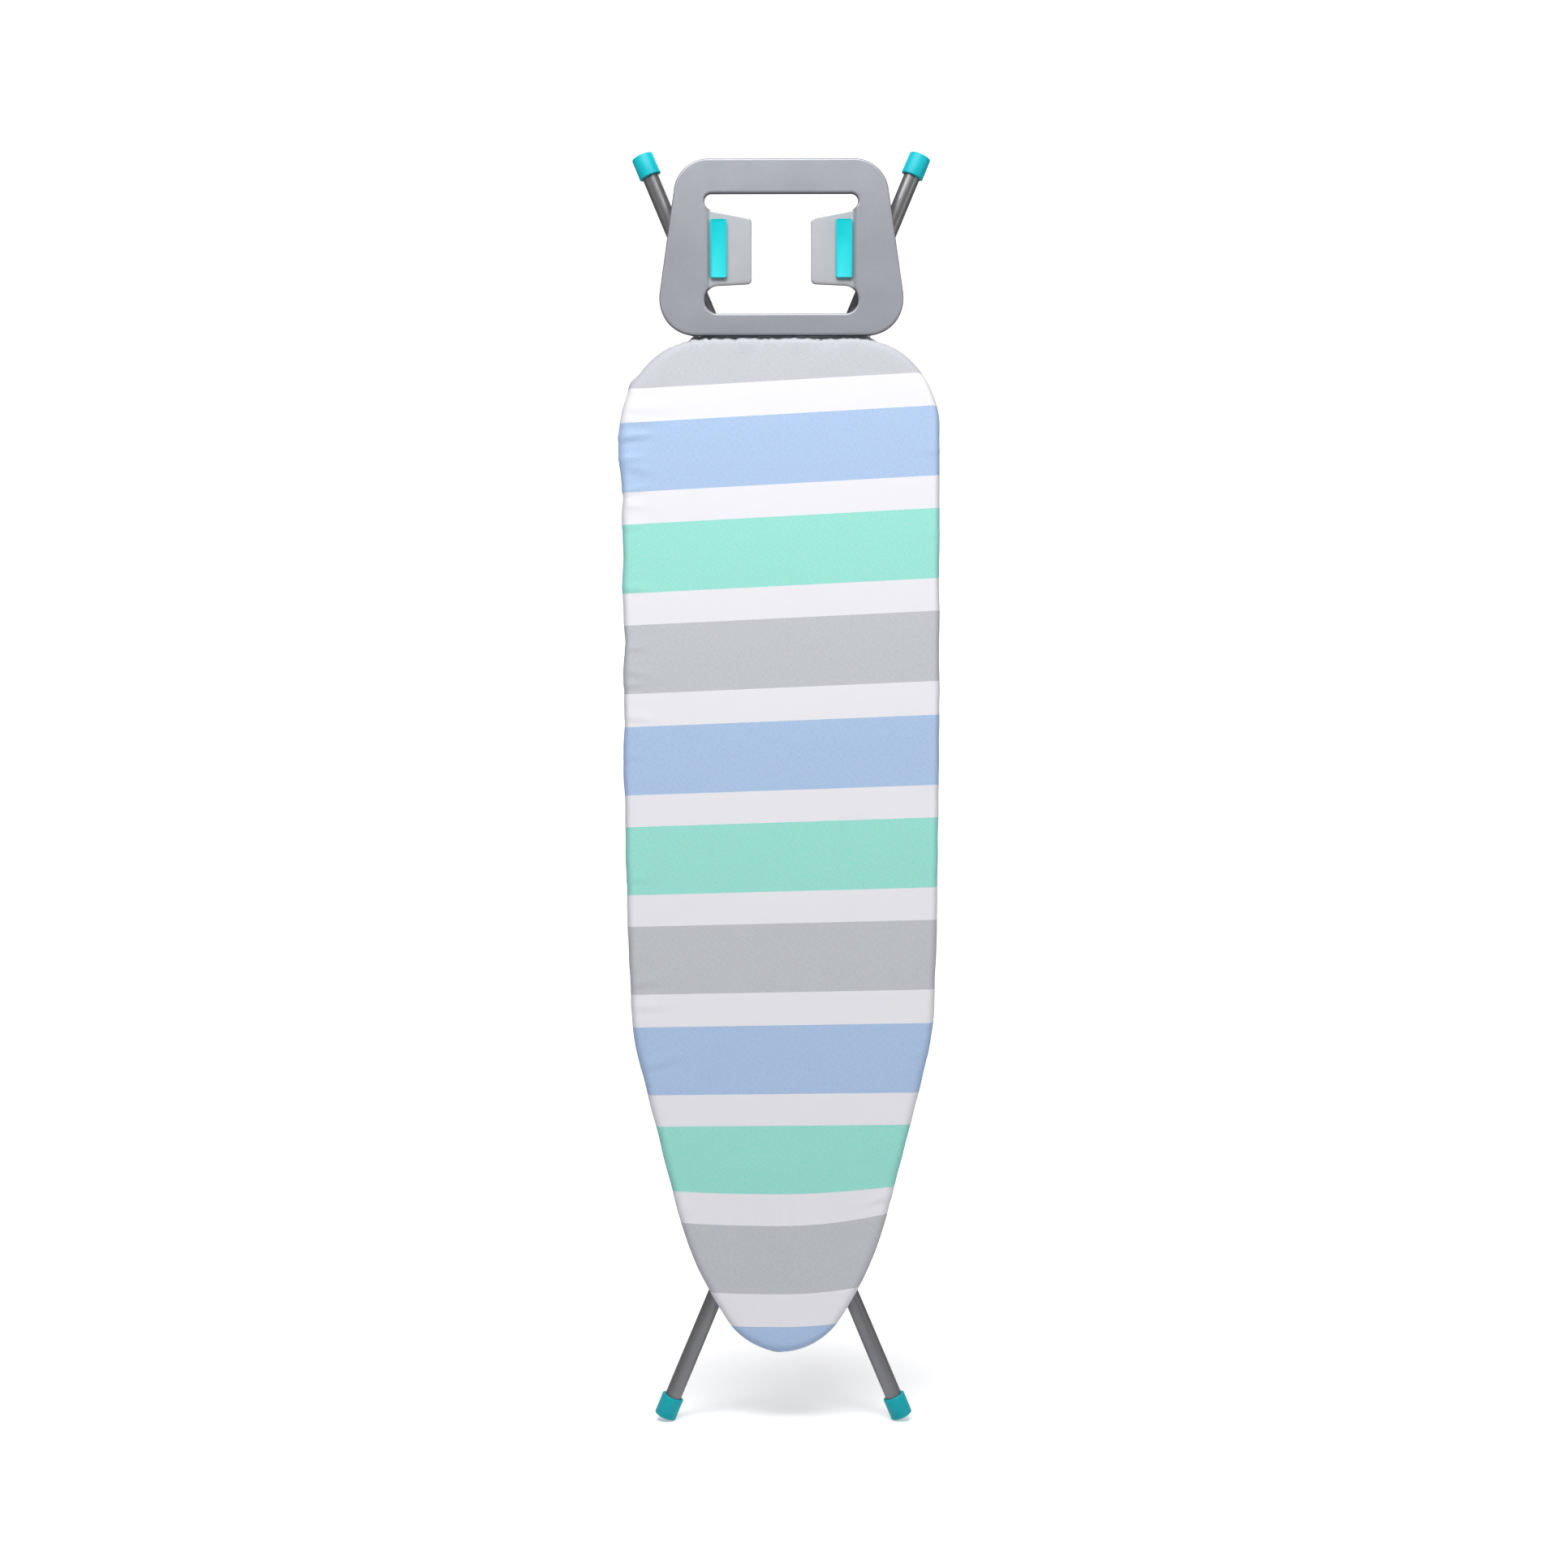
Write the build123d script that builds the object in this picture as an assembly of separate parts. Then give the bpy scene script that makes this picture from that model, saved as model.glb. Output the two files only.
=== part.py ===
from build123d import *
from math import cos, radians, sin, tan
import os

# A folding ironing board, stood upright and folded, in millimetres.
# +Z runs up the board from the nose to the iron rest, +X to the right, and -Y out of
# the ironing face. The legs fold flat behind the board, on its +Y side.
# Depths are drawn from the deck's front face and moved back at the end, so that the origin
# is on the floor, under the middle of the folded board.

# ---------------------------------------------------------------- driving dimensions
# board top
board_width = 330.0
board_length = 1078.0
nose_height = 91.0            # floor to the nose of the bare board, folded and upright
nose_radius = 65.0
flank_radius = 357.0
shoulder_radius = 245.0
side_radius = 7365.0
tail_corner_radius = 90.0
nose_turn = 55.0              # angle round the outline at which each arc gives way
flank_turn = 75.7
side_turn = 87.5

rim_depth = 15.0
rim_wall = 1.2
rim_lip = 10.0
deck_thickness = 1.0
mesh_pitch_x = 48.0
mesh_pitch_z = 24.0
mesh_strand = 2.6
mesh_border = 8.0             # plain edge outside the openings

# soft goods
pad_thickness = 4.0
pad_overhang = 3.0
cover_thickness = 1.0
cover_grow = 5.0              # cover outline outside the rim
cover_hem = 30.0              # hem that turns in behind the rim
cover_gap = 0.3

# ribs and rails under the deck
rib_thickness = 2.0
rib_width = 24.0
nose_rib_inset = 149.0        # nose of the board to the middle of the first rib
rear_rib_inset = 139.0        # tail of the board to the middle of the fourth rib
tail_rib_inset = 49.0
rail_thickness = 2.0
rail_clearance = 3.0          # between the outer leg tubes and the rail webs
rail_flange = 18.0
rail_overhang = 15.0          # rail beyond the middle of its first and last ribs
rail_corner = 3.0
flange_corner = 6.0
rack_overhang = 20.0          # deeper web beyond the lever shaft
pivot_margin = 5.0            # web behind the tail pivot's hole
slot_margin = 6.7             # web behind the slide bar's slot
rivet_radius = 2.0
rivet_head_radius = 4.0
rivet_head_height = 1.5
small_round = 1.0             # rounding of small rivet and screw heads

# leg linkage
pivot_depth = 17.0            # pivot line behind the deck's front face
tail_pivot_inset = 64.0       # tail of the board to the tail pivot
slide_bar_height = 271.6      # slide bar's place when folded
open_angle = 48.0             # widest the legs open
notch_angles = (37.0, 40.3, 43.8, 47.2)
notch_depth = 4.0

tube_radius = 9.0
tube_wall = 1.2
inner_leg_half_spacing = 30.0
leg_side_gap = 2.0
leg_back_gap = 0.7            # between the tail pivot's spacers and the outer leg
bend_radius = 70.0
splay_angle = 22.7
foot_spread = 100.0           # how far a foot stands out sideways from its own tube
bar_radius = 5.0
lug_thickness = 3.0
lug_rim = 5.0                 # lug metal round its hole
lug_reach = 42.0              # length of lug inside the tube
tube_start = 17.0             # pivot to the end of the leg tube
brace_radius = 6.0
front_brace_height = 300.0
rear_brace_rise = 17.0        # rear leg's brace above the tail pivot

foot_wall = 3.0
foot_length = 24.0
foot_floor = 4.5
foot_fillet = 2.0
foot_mouth = 1.6              # depth of the recess round the tube at the foot's mouth
foot_mouth_gap = 1.2
foot_grip_gap = 0.02

cross_rivet_radius = 3.0
cross_head_radius = 6.0
cross_head_height = 2.4
cross_head_round = 1.8
cross_washer_radius = 8.0

running_gap = 0.05            # radial play of a shaft in its hole
side_play = 0.3               # play beside a moving part

roller_wall = 2.0
roller_flange_rise = 2.5
roller_flange = 1.9
end_cap_wall = 3.0
end_cap_length = 6.0
end_cap_floor = 1.5
cap_gap = 0.2                 # between a cap and what it holds
spacer_wall = 1.3

# height lever
lever_clear = 39.0            # lever shaft above the slide bar's highest place
lever_rod_radius = 4.0
lever_reach = 120.0
lever_rise = 19.0
lever_arm = 102.0
lever_bend = 9.0
lock_plate_gap = 7.0          # beside the lock plate, to the inner leg tubes
lock_plate_length = 170.0
lock_plate_thickness = 2.0
lock_plate_corner = 8.0
lever_hub_wall = 3.0
lever_stub = 6.0              # lever shaft beyond the left rail
grip_radius = 7.5
grip_length = 68.0
grip_end = 6.0                # solid end of the grip
grip_end_round = 5.0
grip_mouth_round = 2.0
lever_clip_radius = 7.0
lever_clip_length = 4.0
spring_wire_radius = 0.7
spring_turns = 5
spring_gap = 1.0              # between the coil and the shaft
spring_turn_gap = 0.3
spring_leg = 9.0

# iron rest
rest_proud = 1.0              # front face of the pressed plate, in front of the cover
rest_gap = 0.8                # between the cover and the plate's lower edge
rest_sheet = 1.2
rest_depth = 8.0
rest_press_radius = 2.0
rest_height = 186.5
rest_bottom_corner = 40.0
rest_top_corner = 36.0
rest_bottom_bar = 23.0        # widths of the bars round the window
rest_top_bar = 36.6
rest_side_bottom = 54.4
rest_side_top = 27.9
window_half_width = 81.5
tongue_reach = 50.0           # root to tip
tongue_tip_height = 70.0
bottom_slot_height = 29.4
bottom_slot_taper = 2.4
top_slot_height = 15.7
top_slot_taper = 9.4
tongue_corner = 5.0
top_slot_corner = 7.3
bottom_slot_corner = 14.0
tongue_fold_inset = 0.8
tongue_fold_width = 5.0
tongue_step = 4.0
tongue_lip = 4.0

rest_pad_inset = 14.9         # window's side to the middle of a heat-proof pad
rest_pad_rise = 2.0           # pad's middle above the tongue's middle
rest_pad_width = 17.3
rest_pad_height = 61.7
rest_pad_thickness = 4.0
rest_pad_corner = 2.0
rest_pad_edge = 1.2
pad_stud_radius = 2.5
pad_stud_spacing = 40.0
pad_stud_head = 3.6
pad_stud_head_height = 1.2

rest_rod_radius = 3.5
rest_rod_inset = 10.5         # window's side to the rod
rest_rod_tail = 22.0          # rod below the middle of its lower clamp
rest_rod_end_gap = 23.3       # rod's end to the plate's top edge
rest_rod_clear = 0.7          # between the rod and the cover's hem
rest_rod_bend = 12.0
rest_rod_crank = 12.0         # the rod starts to bend forward this far above the cover
rest_rod_crank_length = 26.0
clamp_height = 16.0
clamp_edge = 8.0              # screw's middle to the clamp's outer side
clamp_back = 2.5
clamp_screw_radius = 2.0
clamp_screw_offset = 10.0
clamp_screw_head = 4.0
clamp_screw_head_height = 2.2
screw_recess_depth = 1.0
screw_recess_length = 5.0
screw_recess_width = 0.9

# ---------------------------------------------------------------- derived places
tail_height = nose_height + board_length
deck_back = deck_thickness
rib_back = deck_back + rib_thickness
rail_back = rib_back + rail_thickness
cover_front = -pad_thickness - cover_thickness
cover_back = rim_depth + cover_gap + cover_thickness

tail_pivot_height = tail_height - tail_pivot_inset
spacer_radius = bar_radius + spacer_wall
tube_offset = spacer_radius + leg_back_gap + tube_radius
leg_depth = pivot_depth + tube_offset
leg_length = tail_pivot_height
overall_height = slide_bar_height + leg_length
cross_height = (tail_pivot_height + slide_bar_height) / 2
pivot_arm = tail_pivot_height - slide_bar_height
outer_leg_half_spacing = inner_leg_half_spacing + 2 * tube_radius + leg_side_gap
rear_brace_height = tail_pivot_height + rear_brace_rise
lug_radius = bar_radius + lug_rim
roller_radius = bar_radius + roller_wall
roller_flange_radius = roller_radius + roller_flange_rise
end_cap_radius = bar_radius + end_cap_wall
foot_radius = tube_radius + foot_wall

web_inner = outer_leg_half_spacing + tube_radius + rail_clearance
web_outer = web_inner + rail_thickness
slot_half_width = roller_radius + side_play
rail_web_back = pivot_depth + bar_radius + pivot_margin
rack_web_back = pivot_depth + slot_half_width + slot_margin
nose_rib_height = nose_height + nose_rib_inset
rear_rib_height = tail_height - rear_rib_inset
tail_rib_height = tail_height - tail_rib_inset
rib_spacing = (rear_rib_height - nose_rib_height) / 3
rib_heights = {"nose_rib": nose_rib_height,
               "front_rib": nose_rib_height + rib_spacing,
               "middle_rib": nose_rib_height + 2 * rib_spacing,
               "rear_rib": rear_rib_height,
               "tail_rib": tail_rib_height}
rail_bottom = nose_rib_height - rail_overhang
rail_top = tail_rib_height + rail_overhang

rest_front = cover_front - rest_proud
rest_bottom = tail_height + cover_grow + rest_gap
rest_top = rest_bottom + rest_height
rest_bottom_half_width = window_half_width + rest_side_bottom
rest_top_half_width = window_half_width + rest_side_top
window_bottom = rest_bottom + rest_bottom_bar
window_top = rest_top - rest_top_bar
tongue_tip = window_half_width - tongue_reach
tongue_root_bottom = window_bottom + bottom_slot_height
tongue_tip_bottom = tongue_root_bottom + bottom_slot_taper
tongue_tip_top = tongue_tip_bottom + tongue_tip_height
tongue_root_top = window_top - top_slot_height
tongue_fold = window_half_width - tongue_fold_inset
rest_pad_x = window_half_width - rest_pad_inset
rest_rod_x = window_half_width + rest_rod_inset
rest_rod_depth = cover_back + rest_rod_clear + rest_rod_radius
rest_rod_bottom = rear_rib_height - rest_rod_tail
rest_rod_top = rest_top - rest_rod_end_gap
clamp_depth = rest_rod_depth + rest_rod_radius + clamp_back

middle_depth = (rest_front + leg_depth + foot_radius) / 2
splay = radians(splay_angle)
foot_contact = ((foot_radius - foot_fillet) * sin(splay)
                + foot_fillet * (1 - cos(splay)))     # foot face centre above the floor
splay_run = foot_spread / tan(splay)


def slide_height(angle):
    """Height of the slide bar when the legs have opened by angle, in degrees."""
    opened = radians(angle)
    return tail_pivot_height + 2 * tube_offset * sin(opened) - pivot_arm * cos(opened)


lever_height = slide_height(open_angle) + lever_clear
lock_plate_front = pivot_depth + bar_radius + side_play
lock_plate_half_width = inner_leg_half_spacing - tube_radius - lock_plate_gap


# ---------------------------------------------------------------- helpers
def plate(sketch, front, back):
    """A flat piece parallel to the ironing face, from depth front to depth back."""
    plane = Plane(origin=(0, back, 0), x_dir=(1, 0, 0), z_dir=(0, -1, 0))
    return extrude(plane * sketch, back - front, dir=(0, -1, 0))


def side_plate(sketch, low, high):
    """A piece drawn in depth and height, from x = low to x = high."""
    plane = Plane(origin=(low, 0, 0), x_dir=(0, 1, 0), z_dir=(1, 0, 0))
    return extrude(plane * sketch, high - low, dir=(1, 0, 0))


def cylinder_x(radius, low, high, depth, height):
    """A round bar along X."""
    plane = Plane(origin=(low, depth, height), z_dir=(1, 0, 0))
    return Solid.make_cylinder(radius, high - low, plane)


def box(low, high):
    """A box between two corners."""
    size = [b - a for a, b in zip(low, high)]
    return Pos(*low) * Box(*size, align=(Align.MIN, Align.MIN, Align.MIN))


def mirrored(shape):
    return mirror(shape, about=Plane.YZ)


def both_sides(shape):
    return Compound(children=[shape, mirrored(shape)])


def swept_round(path, radius, wall=None):
    """A rod, or a tube if wall is given, along a path."""
    section = Circle(radius)
    if wall:
        section = section - Circle(radius - wall)
    start = Plane(origin=path @ 0, z_dir=path % 0)
    return sweep(start * section, path=path)


def round_hole(shape, radius, depth, height, low=-400, high=400):
    return shape - cylinder_x(radius, low, high, depth, height)


def save(name, shape):
    """Write one piece, moved from the drawing depths to the part's own origin."""
    export_step(Pos(0, -middle_depth, 0) * shape, f"parts/{name}.step")


# ---------------------------------------------------------------- board outline
def on_arc(centre, radius, turn):
    """Point of an arc, by its turn from straight down, in degrees."""
    angle = radians(turn)
    return (centre[0] + radius * sin(angle), centre[1] - radius * cos(angle))


def arc_between(centre, radius, turn_a, turn_b):
    middle = (turn_a + turn_b) / 2
    return ThreePointArc(on_arc(centre, radius, turn_a),
                         on_arc(centre, radius, middle),
                         on_arc(centre, radius, turn_b))


def board_outline(grow=0.0):
    """The board's outline as a face, grown outwards all round by grow."""
    half = board_width / 2 + grow
    top = tail_height + grow
    nose, flank = nose_radius + grow, flank_radius + grow
    shoulder, side = shoulder_radius + grow, side_radius + grow
    corner = tail_corner_radius + grow

    nose_centre = (0, nose_height - grow + nose)
    nose_end = on_arc(nose_centre, nose, nose_turn)
    flank_centre = on_arc(nose_end, -flank, nose_turn)
    flank_end = on_arc(flank_centre, flank, flank_turn)

    side_x = half - side * (1 - sin(radians(side_turn)))
    shoulder_x = side_x - shoulder * (sin(radians(side_turn)) - sin(radians(flank_turn)))
    rise = (shoulder_x - flank_end[0]) * tan(radians(flank_turn))
    shoulder_start = (shoulder_x, flank_end[1] + rise)
    shoulder_centre = on_arc(shoulder_start, -shoulder, flank_turn)
    shoulder_end = on_arc(shoulder_centre, shoulder, side_turn)
    side_centre = on_arc(shoulder_end, -side, side_turn)
    side_end = on_arc(side_centre, side, 90)

    corner_centre = (half - corner, top - corner)
    right = [
        arc_between(nose_centre, nose, 0, nose_turn),
        arc_between(flank_centre, flank, nose_turn, flank_turn),
        Line(flank_end, shoulder_start),
        arc_between(shoulder_centre, shoulder, flank_turn, side_turn),
        arc_between(side_centre, side, side_turn, 90),
        Line(side_end, (half, top - corner)),
        arc_between(corner_centre, corner, 90, 180),
        Line((half - corner, top), (0, top)),
    ]
    left = [mirror(edge, about=Plane.YZ) for edge in right]
    return make_face(Curve() + right + left)


# ---------------------------------------------------------------- board top
def make_deck():
    """Flattened expanded-metal sheet: a plate with staggered diamond openings."""
    safe = board_outline(-rim_wall - mesh_border).face()
    half_x = (mesh_pitch_x - mesh_strand * 2) / 2
    half_z = (mesh_pitch_z - mesh_strand * 1.3) / 2
    rows = int(board_length / (mesh_pitch_z / 2))
    columns = int(board_width / mesh_pitch_x)
    holes = []
    for row in range(rows):
        z = nose_height + row * mesh_pitch_z / 2
        shift = mesh_pitch_x / 2 if row % 2 else 0
        for column in range(-columns, columns + 1):
            x = column * mesh_pitch_x + shift
            corners = [(x - half_x, z), (x, z - half_z), (x + half_x, z), (x, z + half_z)]
            if all(safe.is_inside(Vector(*corner, 0)) for corner in corners):
                holes.append(Wire.make_polygon([Vector(*c, 0) for c in corners]))
    outline = board_outline(-rim_wall).face()
    return plate(Face(outline.outer_wire(), holes), 0, deck_thickness)


def make_rim():
    """Rolled steel edge: an outer wall with a lip turned in behind it."""
    wall = board_outline() - board_outline(-rim_wall)
    lip = board_outline() - board_outline(-rim_lip)
    return plate(wall, 0, rim_depth) + plate(lip, rim_depth - rim_wall, rim_depth)


def make_pad():
    return plate(board_outline(pad_overhang), -pad_thickness, 0)


def make_cover():
    """Fabric cover: front sheet, skirt over the rim, and hem turned in behind it."""
    sheet = plate(board_outline(cover_grow), cover_front, -pad_thickness)
    skirt = board_outline(cover_grow) - board_outline(cover_grow - cover_thickness)
    hem = board_outline(cover_grow) - board_outline(-cover_hem)
    return (sheet + plate(skirt, cover_front, cover_back)
            + plate(hem, cover_back - cover_thickness, cover_back))


# ---------------------------------------------------------------- ribs and rails
rivet_x = web_outer + rail_flange / 2
clamp_x = rest_rod_x + clamp_screw_offset


def rivet_places():
    return [(side * rivet_x, z) for side in (-1, 1) for z in rib_heights.values()]


def clamp_heights():
    return [rear_rib_height, tail_rib_height]


def make_rib(height):
    """Flat cross strip, cut to the inside of the rim and drilled for its fasteners."""
    strip = Pos(0, height) * Rectangle(board_width, rib_width)
    strip = strip & board_outline(-rim_wall)
    for side in (-1, 1):
        strip -= Pos(side * rivet_x, height) * Circle(rivet_radius + running_gap)
        if height in clamp_heights():
            strip -= Pos(side * clamp_x, height) * Circle(clamp_screw_radius + running_gap)
    return plate(strip, deck_back, rib_back)


def make_rail():
    """Right rail: an angle whose web holds the pivots, the slot and its height notches."""
    rack_end = lever_height + rack_overhang
    web = Polygon((rib_back, rail_bottom), (rib_back, rail_top),
                  (rail_web_back, rail_top),
                  (rail_web_back, rack_end + rack_overhang),
                  (rack_web_back, rack_end),
                  (rack_web_back, rail_bottom), align=None)
    web = fillet(web.vertices(), rail_corner)
    slot_low = slide_bar_height - side_play
    slot_high = slide_height(open_angle) + side_play
    slot_centre = Pos(pivot_depth, (slot_low + slot_high) / 2)
    web -= slot_centre * SlotCenterToCenter(slot_high - slot_low, 2 * slot_half_width,
                                            rotation=90)
    for angle in notch_angles:
        notch = Pos(pivot_depth - notch_depth, slide_height(angle))
        web -= notch * Circle(slot_half_width)
    web -= Pos(pivot_depth, tail_pivot_height) * Circle(bar_radius + running_gap)
    web -= Pos(pivot_depth, lever_height) * Circle(lever_rod_radius + running_gap)

    flange = Pos(web_outer + rail_flange / 2, (rail_bottom + rail_top) / 2) * Rectangle(
        rail_flange, rail_top - rail_bottom)
    flange = fillet(flange.vertices().group_by(Axis.X)[-1], flange_corner)
    for x, z in rivet_places():
        if x > 0:
            flange -= Pos(x, z) * Circle(rivet_radius + running_gap)
    return side_plate(web, web_inner, web_outer) + plate(flange, rib_back, rail_back)


def make_rail_rivets():
    """Flat rivets that hold the rails to the ribs."""
    rivets = []
    for x, z in rivet_places():
        shank = plate(Pos(x, z) * Circle(rivet_radius), deck_back, rail_back)
        head = plate(Pos(x, z) * Circle(rivet_head_radius), rail_back,
                     rail_back + rivet_head_height)
        head = fillet(head.edges().group_by(Axis.Y)[-1], small_round)
        rivets.append(shank + head)
    return Compound(children=rivets)


def make_end_caps(outer_x):
    """Two push-on caps on the ends of a cross bar."""
    plane = Plane(origin=(outer_x, pivot_depth, 0), z_dir=(1, 0, 0))
    cap = plane * Cylinder(end_cap_radius, end_cap_length,
                           align=(Align.CENTER, Align.CENTER, Align.MIN))
    cap = fillet(cap.edges().group_by(Axis.X)[-1], end_cap_floor)
    bore = cylinder_x(bar_radius + running_gap / 2, outer_x,
                      outer_x + end_cap_length - end_cap_floor, pivot_depth, 0)
    return both_sides(cap - bore)


def spacer(low, high):
    """Plastic spacer tube on the tail pivot rod."""
    outer = cylinder_x(spacer_radius, low, high, pivot_depth, tail_pivot_height)
    return round_hole(outer, bar_radius + running_gap, pivot_depth, tail_pivot_height)


# ---------------------------------------------------------------- legs
def foot_point(half_spacing, upwards):
    """Centre of the foot's end face, on the right-hand side."""
    height = overall_height - foot_contact if upwards else foot_contact
    return Vector(half_spacing + foot_spread, leg_depth, height)


def leg_direction(upwards):
    """Direction from the foot's end face back along its splayed tube."""
    return Vector(-sin(splay), 0, -cos(splay) if upwards else cos(splay))


def tube_path(half_spacing, upwards):
    """Centreline of a right-hand leg tube, from its pivot end to inside its foot."""
    foot = foot_point(half_spacing, upwards)
    end = foot + leg_direction(upwards) * foot_floor
    if upwards:
        start_height = slide_bar_height + tube_start
        corner_height = foot.Z - splay_run
    else:
        start_height = tail_pivot_height - tube_start
        corner_height = foot.Z + splay_run
    start = Vector(half_spacing, leg_depth, start_height)
    corner = Vector(half_spacing, leg_depth, corner_height)
    return FilletPolyline(start, corner, end, radius=bend_radius)


def make_lug(half_spacing, upwards):
    """Flat lug plate in the slotted end of a right-hand leg tube."""
    pivot_height = slide_bar_height if upwards else tail_pivot_height
    way = 1 if upwards else -1
    inside = tube_radius - tube_wall - running_gap
    circles = [Pos(pivot_depth, pivot_height) * Circle(lug_radius),
               Pos(leg_depth, pivot_height + way * tube_start) * Circle(inside),
               Pos(leg_depth, pivot_height + way * (tube_start + lug_reach)) * Circle(inside)]
    outline = make_hull([edge for circle in circles for edge in circle.edges()])
    outline -= Pos(pivot_depth, pivot_height) * Circle(bar_radius + running_gap)
    middle = half_spacing - lug_thickness / 2
    return side_plate(outline, middle, middle + lug_thickness)


def make_tube(half_spacing, upwards, lug):
    """Right-hand leg tube, slotted for its lug and drilled for the cross rivet."""
    tube = swept_round(tube_path(half_spacing, upwards), tube_radius, tube_wall)
    tube = round_hole(tube, cross_rivet_radius + running_gap, leg_depth, cross_height)
    return tube - lug


def make_brace(half_spacing, height):
    """Cross tube between the two tubes of a leg, coped to fit them."""
    brace = cylinder_x(brace_radius, -half_spacing, half_spacing, leg_depth, height)
    brace = round_hole(brace, brace_radius - tube_wall, leg_depth, height)
    for side in (-1, 1):
        plane = Plane(origin=(side * half_spacing, leg_depth, height - 2 * brace_radius))
        brace -= Solid.make_cylinder(tube_radius, 4 * brace_radius, plane)
    return brace


def make_foot(half_spacing, upwards):
    """Right-hand moulded cup foot on the end of a leg tube."""
    plane = Plane(origin=foot_point(half_spacing, upwards), z_dir=leg_direction(upwards))
    centred = (Align.CENTER, Align.CENTER, Align.MIN)
    cup = Cylinder(foot_radius, foot_length, align=centred)
    cup = fillet(cup.edges().group_by(Axis.Z)[0], foot_fillet)
    cup = fillet(cup.edges().group_by(Axis.Z)[-1], foot_mouth / 2)
    cup -= Pos(0, 0, foot_floor) * Cylinder(tube_radius + foot_grip_gap, foot_length,
                                            align=centred)
    cup -= Pos(0, 0, foot_length - foot_mouth) * Cylinder(
        tube_radius + foot_mouth_gap, foot_length, align=centred)
    return plane * cup


def make_cross_rivet():
    """Right-hand rivet that pins the two legs where they cross."""
    inner = inner_leg_half_spacing - tube_radius
    outer = outer_leg_half_spacing + tube_radius + side_play / 2
    shank = cylinder_x(cross_rivet_radius, inner, outer, leg_depth, cross_height)
    head = cylinder_x(cross_head_radius, outer, outer + cross_head_height, leg_depth,
                      cross_height)
    head = fillet(head.edges().group_by(Axis.X)[-1], cross_head_round)
    tail = cylinder_x(cross_head_radius, inner - cross_head_height, inner, leg_depth,
                      cross_height)
    tail = fillet(tail.edges().group_by(Axis.X)[0], cross_head_round)
    return shank + head + tail


def make_cross_washer():
    """Right-hand nylon washer between the two leg tubes."""
    inner = inner_leg_half_spacing + tube_radius + side_play / 2
    outer = outer_leg_half_spacing - tube_radius - side_play / 2
    washer = cylinder_x(cross_washer_radius, inner, outer, leg_depth, cross_height)
    return round_hole(washer, cross_rivet_radius + running_gap, leg_depth, cross_height)


def make_roller():
    """Right-hand grooved roller that runs in the rail's slot."""
    groove_low = web_inner - side_play
    groove_high = web_outer + side_play
    low, high = groove_low - roller_flange, groove_high + roller_flange
    place = (pivot_depth, slide_bar_height)
    roller = cylinder_x(roller_radius, low, high, *place)
    roller += cylinder_x(roller_flange_radius, low, groove_low, *place)
    roller += cylinder_x(roller_flange_radius, groove_high, high, *place)
    return round_hole(roller, bar_radius + running_gap, *place)


# ---------------------------------------------------------------- height lever
def make_lever_rod():
    """Bent rod: a shaft across both rails, with a hand lever at its right end."""
    path = FilletPolyline(
        (-web_outer - lever_stub, pivot_depth, lever_height),
        (lever_reach, pivot_depth, lever_height),
        (lever_reach, pivot_depth + lever_rise, lever_height + lever_rise),
        (lever_reach, pivot_depth + lever_rise, lever_height + lever_arm),
        radius=lever_bend)
    return swept_round(path, lever_rod_radius)


def make_lock_plate():
    """Plate on the lever shaft that holds the slide bar down in its notches."""
    half = lock_plate_half_width
    hub = cylinder_x(lever_rod_radius + lever_hub_wall, -half, half, pivot_depth, lever_height)
    blade = Pos(0, lever_height - lock_plate_length / 2) * Rectangle(
        2 * half, lock_plate_length)
    blade = fillet(blade.vertices().group_by(Axis.Y)[0], lock_plate_corner)
    hub += plate(blade, lock_plate_front, lock_plate_front + lock_plate_thickness)
    return round_hole(hub, lever_rod_radius, pivot_depth, lever_height)


def make_grip():
    """Moulded grip on the end of the hand lever."""
    centred = (Align.CENTER, Align.CENTER, Align.MIN)
    place = Pos(lever_reach, pivot_depth + lever_rise,
                lever_height + lever_arm + grip_end - grip_length)
    grip = Cylinder(grip_radius, grip_length, align=centred)
    grip = fillet(grip.edges().group_by(Axis.Z)[-1], grip_end_round)
    grip = fillet(grip.edges().group_by(Axis.Z)[0], grip_mouth_round)
    grip -= Cylinder(lever_rod_radius, grip_length - grip_end, align=centred)
    return place * grip


def make_lever_clip():
    """Push-on washer that keeps the lever shaft in the left rail."""
    outer = cylinder_x(lever_clip_radius, -web_outer - lever_clip_length,
                       -web_outer - side_play, pivot_depth, lever_height)
    return round_hole(outer, lever_rod_radius, pivot_depth, lever_height)


def make_spring():
    """Torsion spring on the lever shaft, with one leg against the rail flange."""
    coil_radius = lever_rod_radius + spring_gap + spring_wire_radius
    pitch = 2 * spring_wire_radius + spring_turn_gap
    length = pitch * spring_turns
    start = Plane(origin=(web_outer + 2 * spring_gap, pivot_depth, lever_height),
                  x_dir=(0, 0, 1), z_dir=(1, 0, 0))
    coil = start * Helix(pitch, length, coil_radius)
    section = Plane(origin=coil @ 0, z_dir=coil % 0) * Circle(spring_wire_radius)
    spring = sweep(section, path=coil, is_frenet=True)
    for end, way in ((0, -1), (1, 1)):
        direction = (coil % end) * way
        plane = Plane(origin=coil @ end, z_dir=direction)
        spring += Solid.make_cylinder(spring_wire_radius, spring_leg, plane)
    return spring


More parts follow.
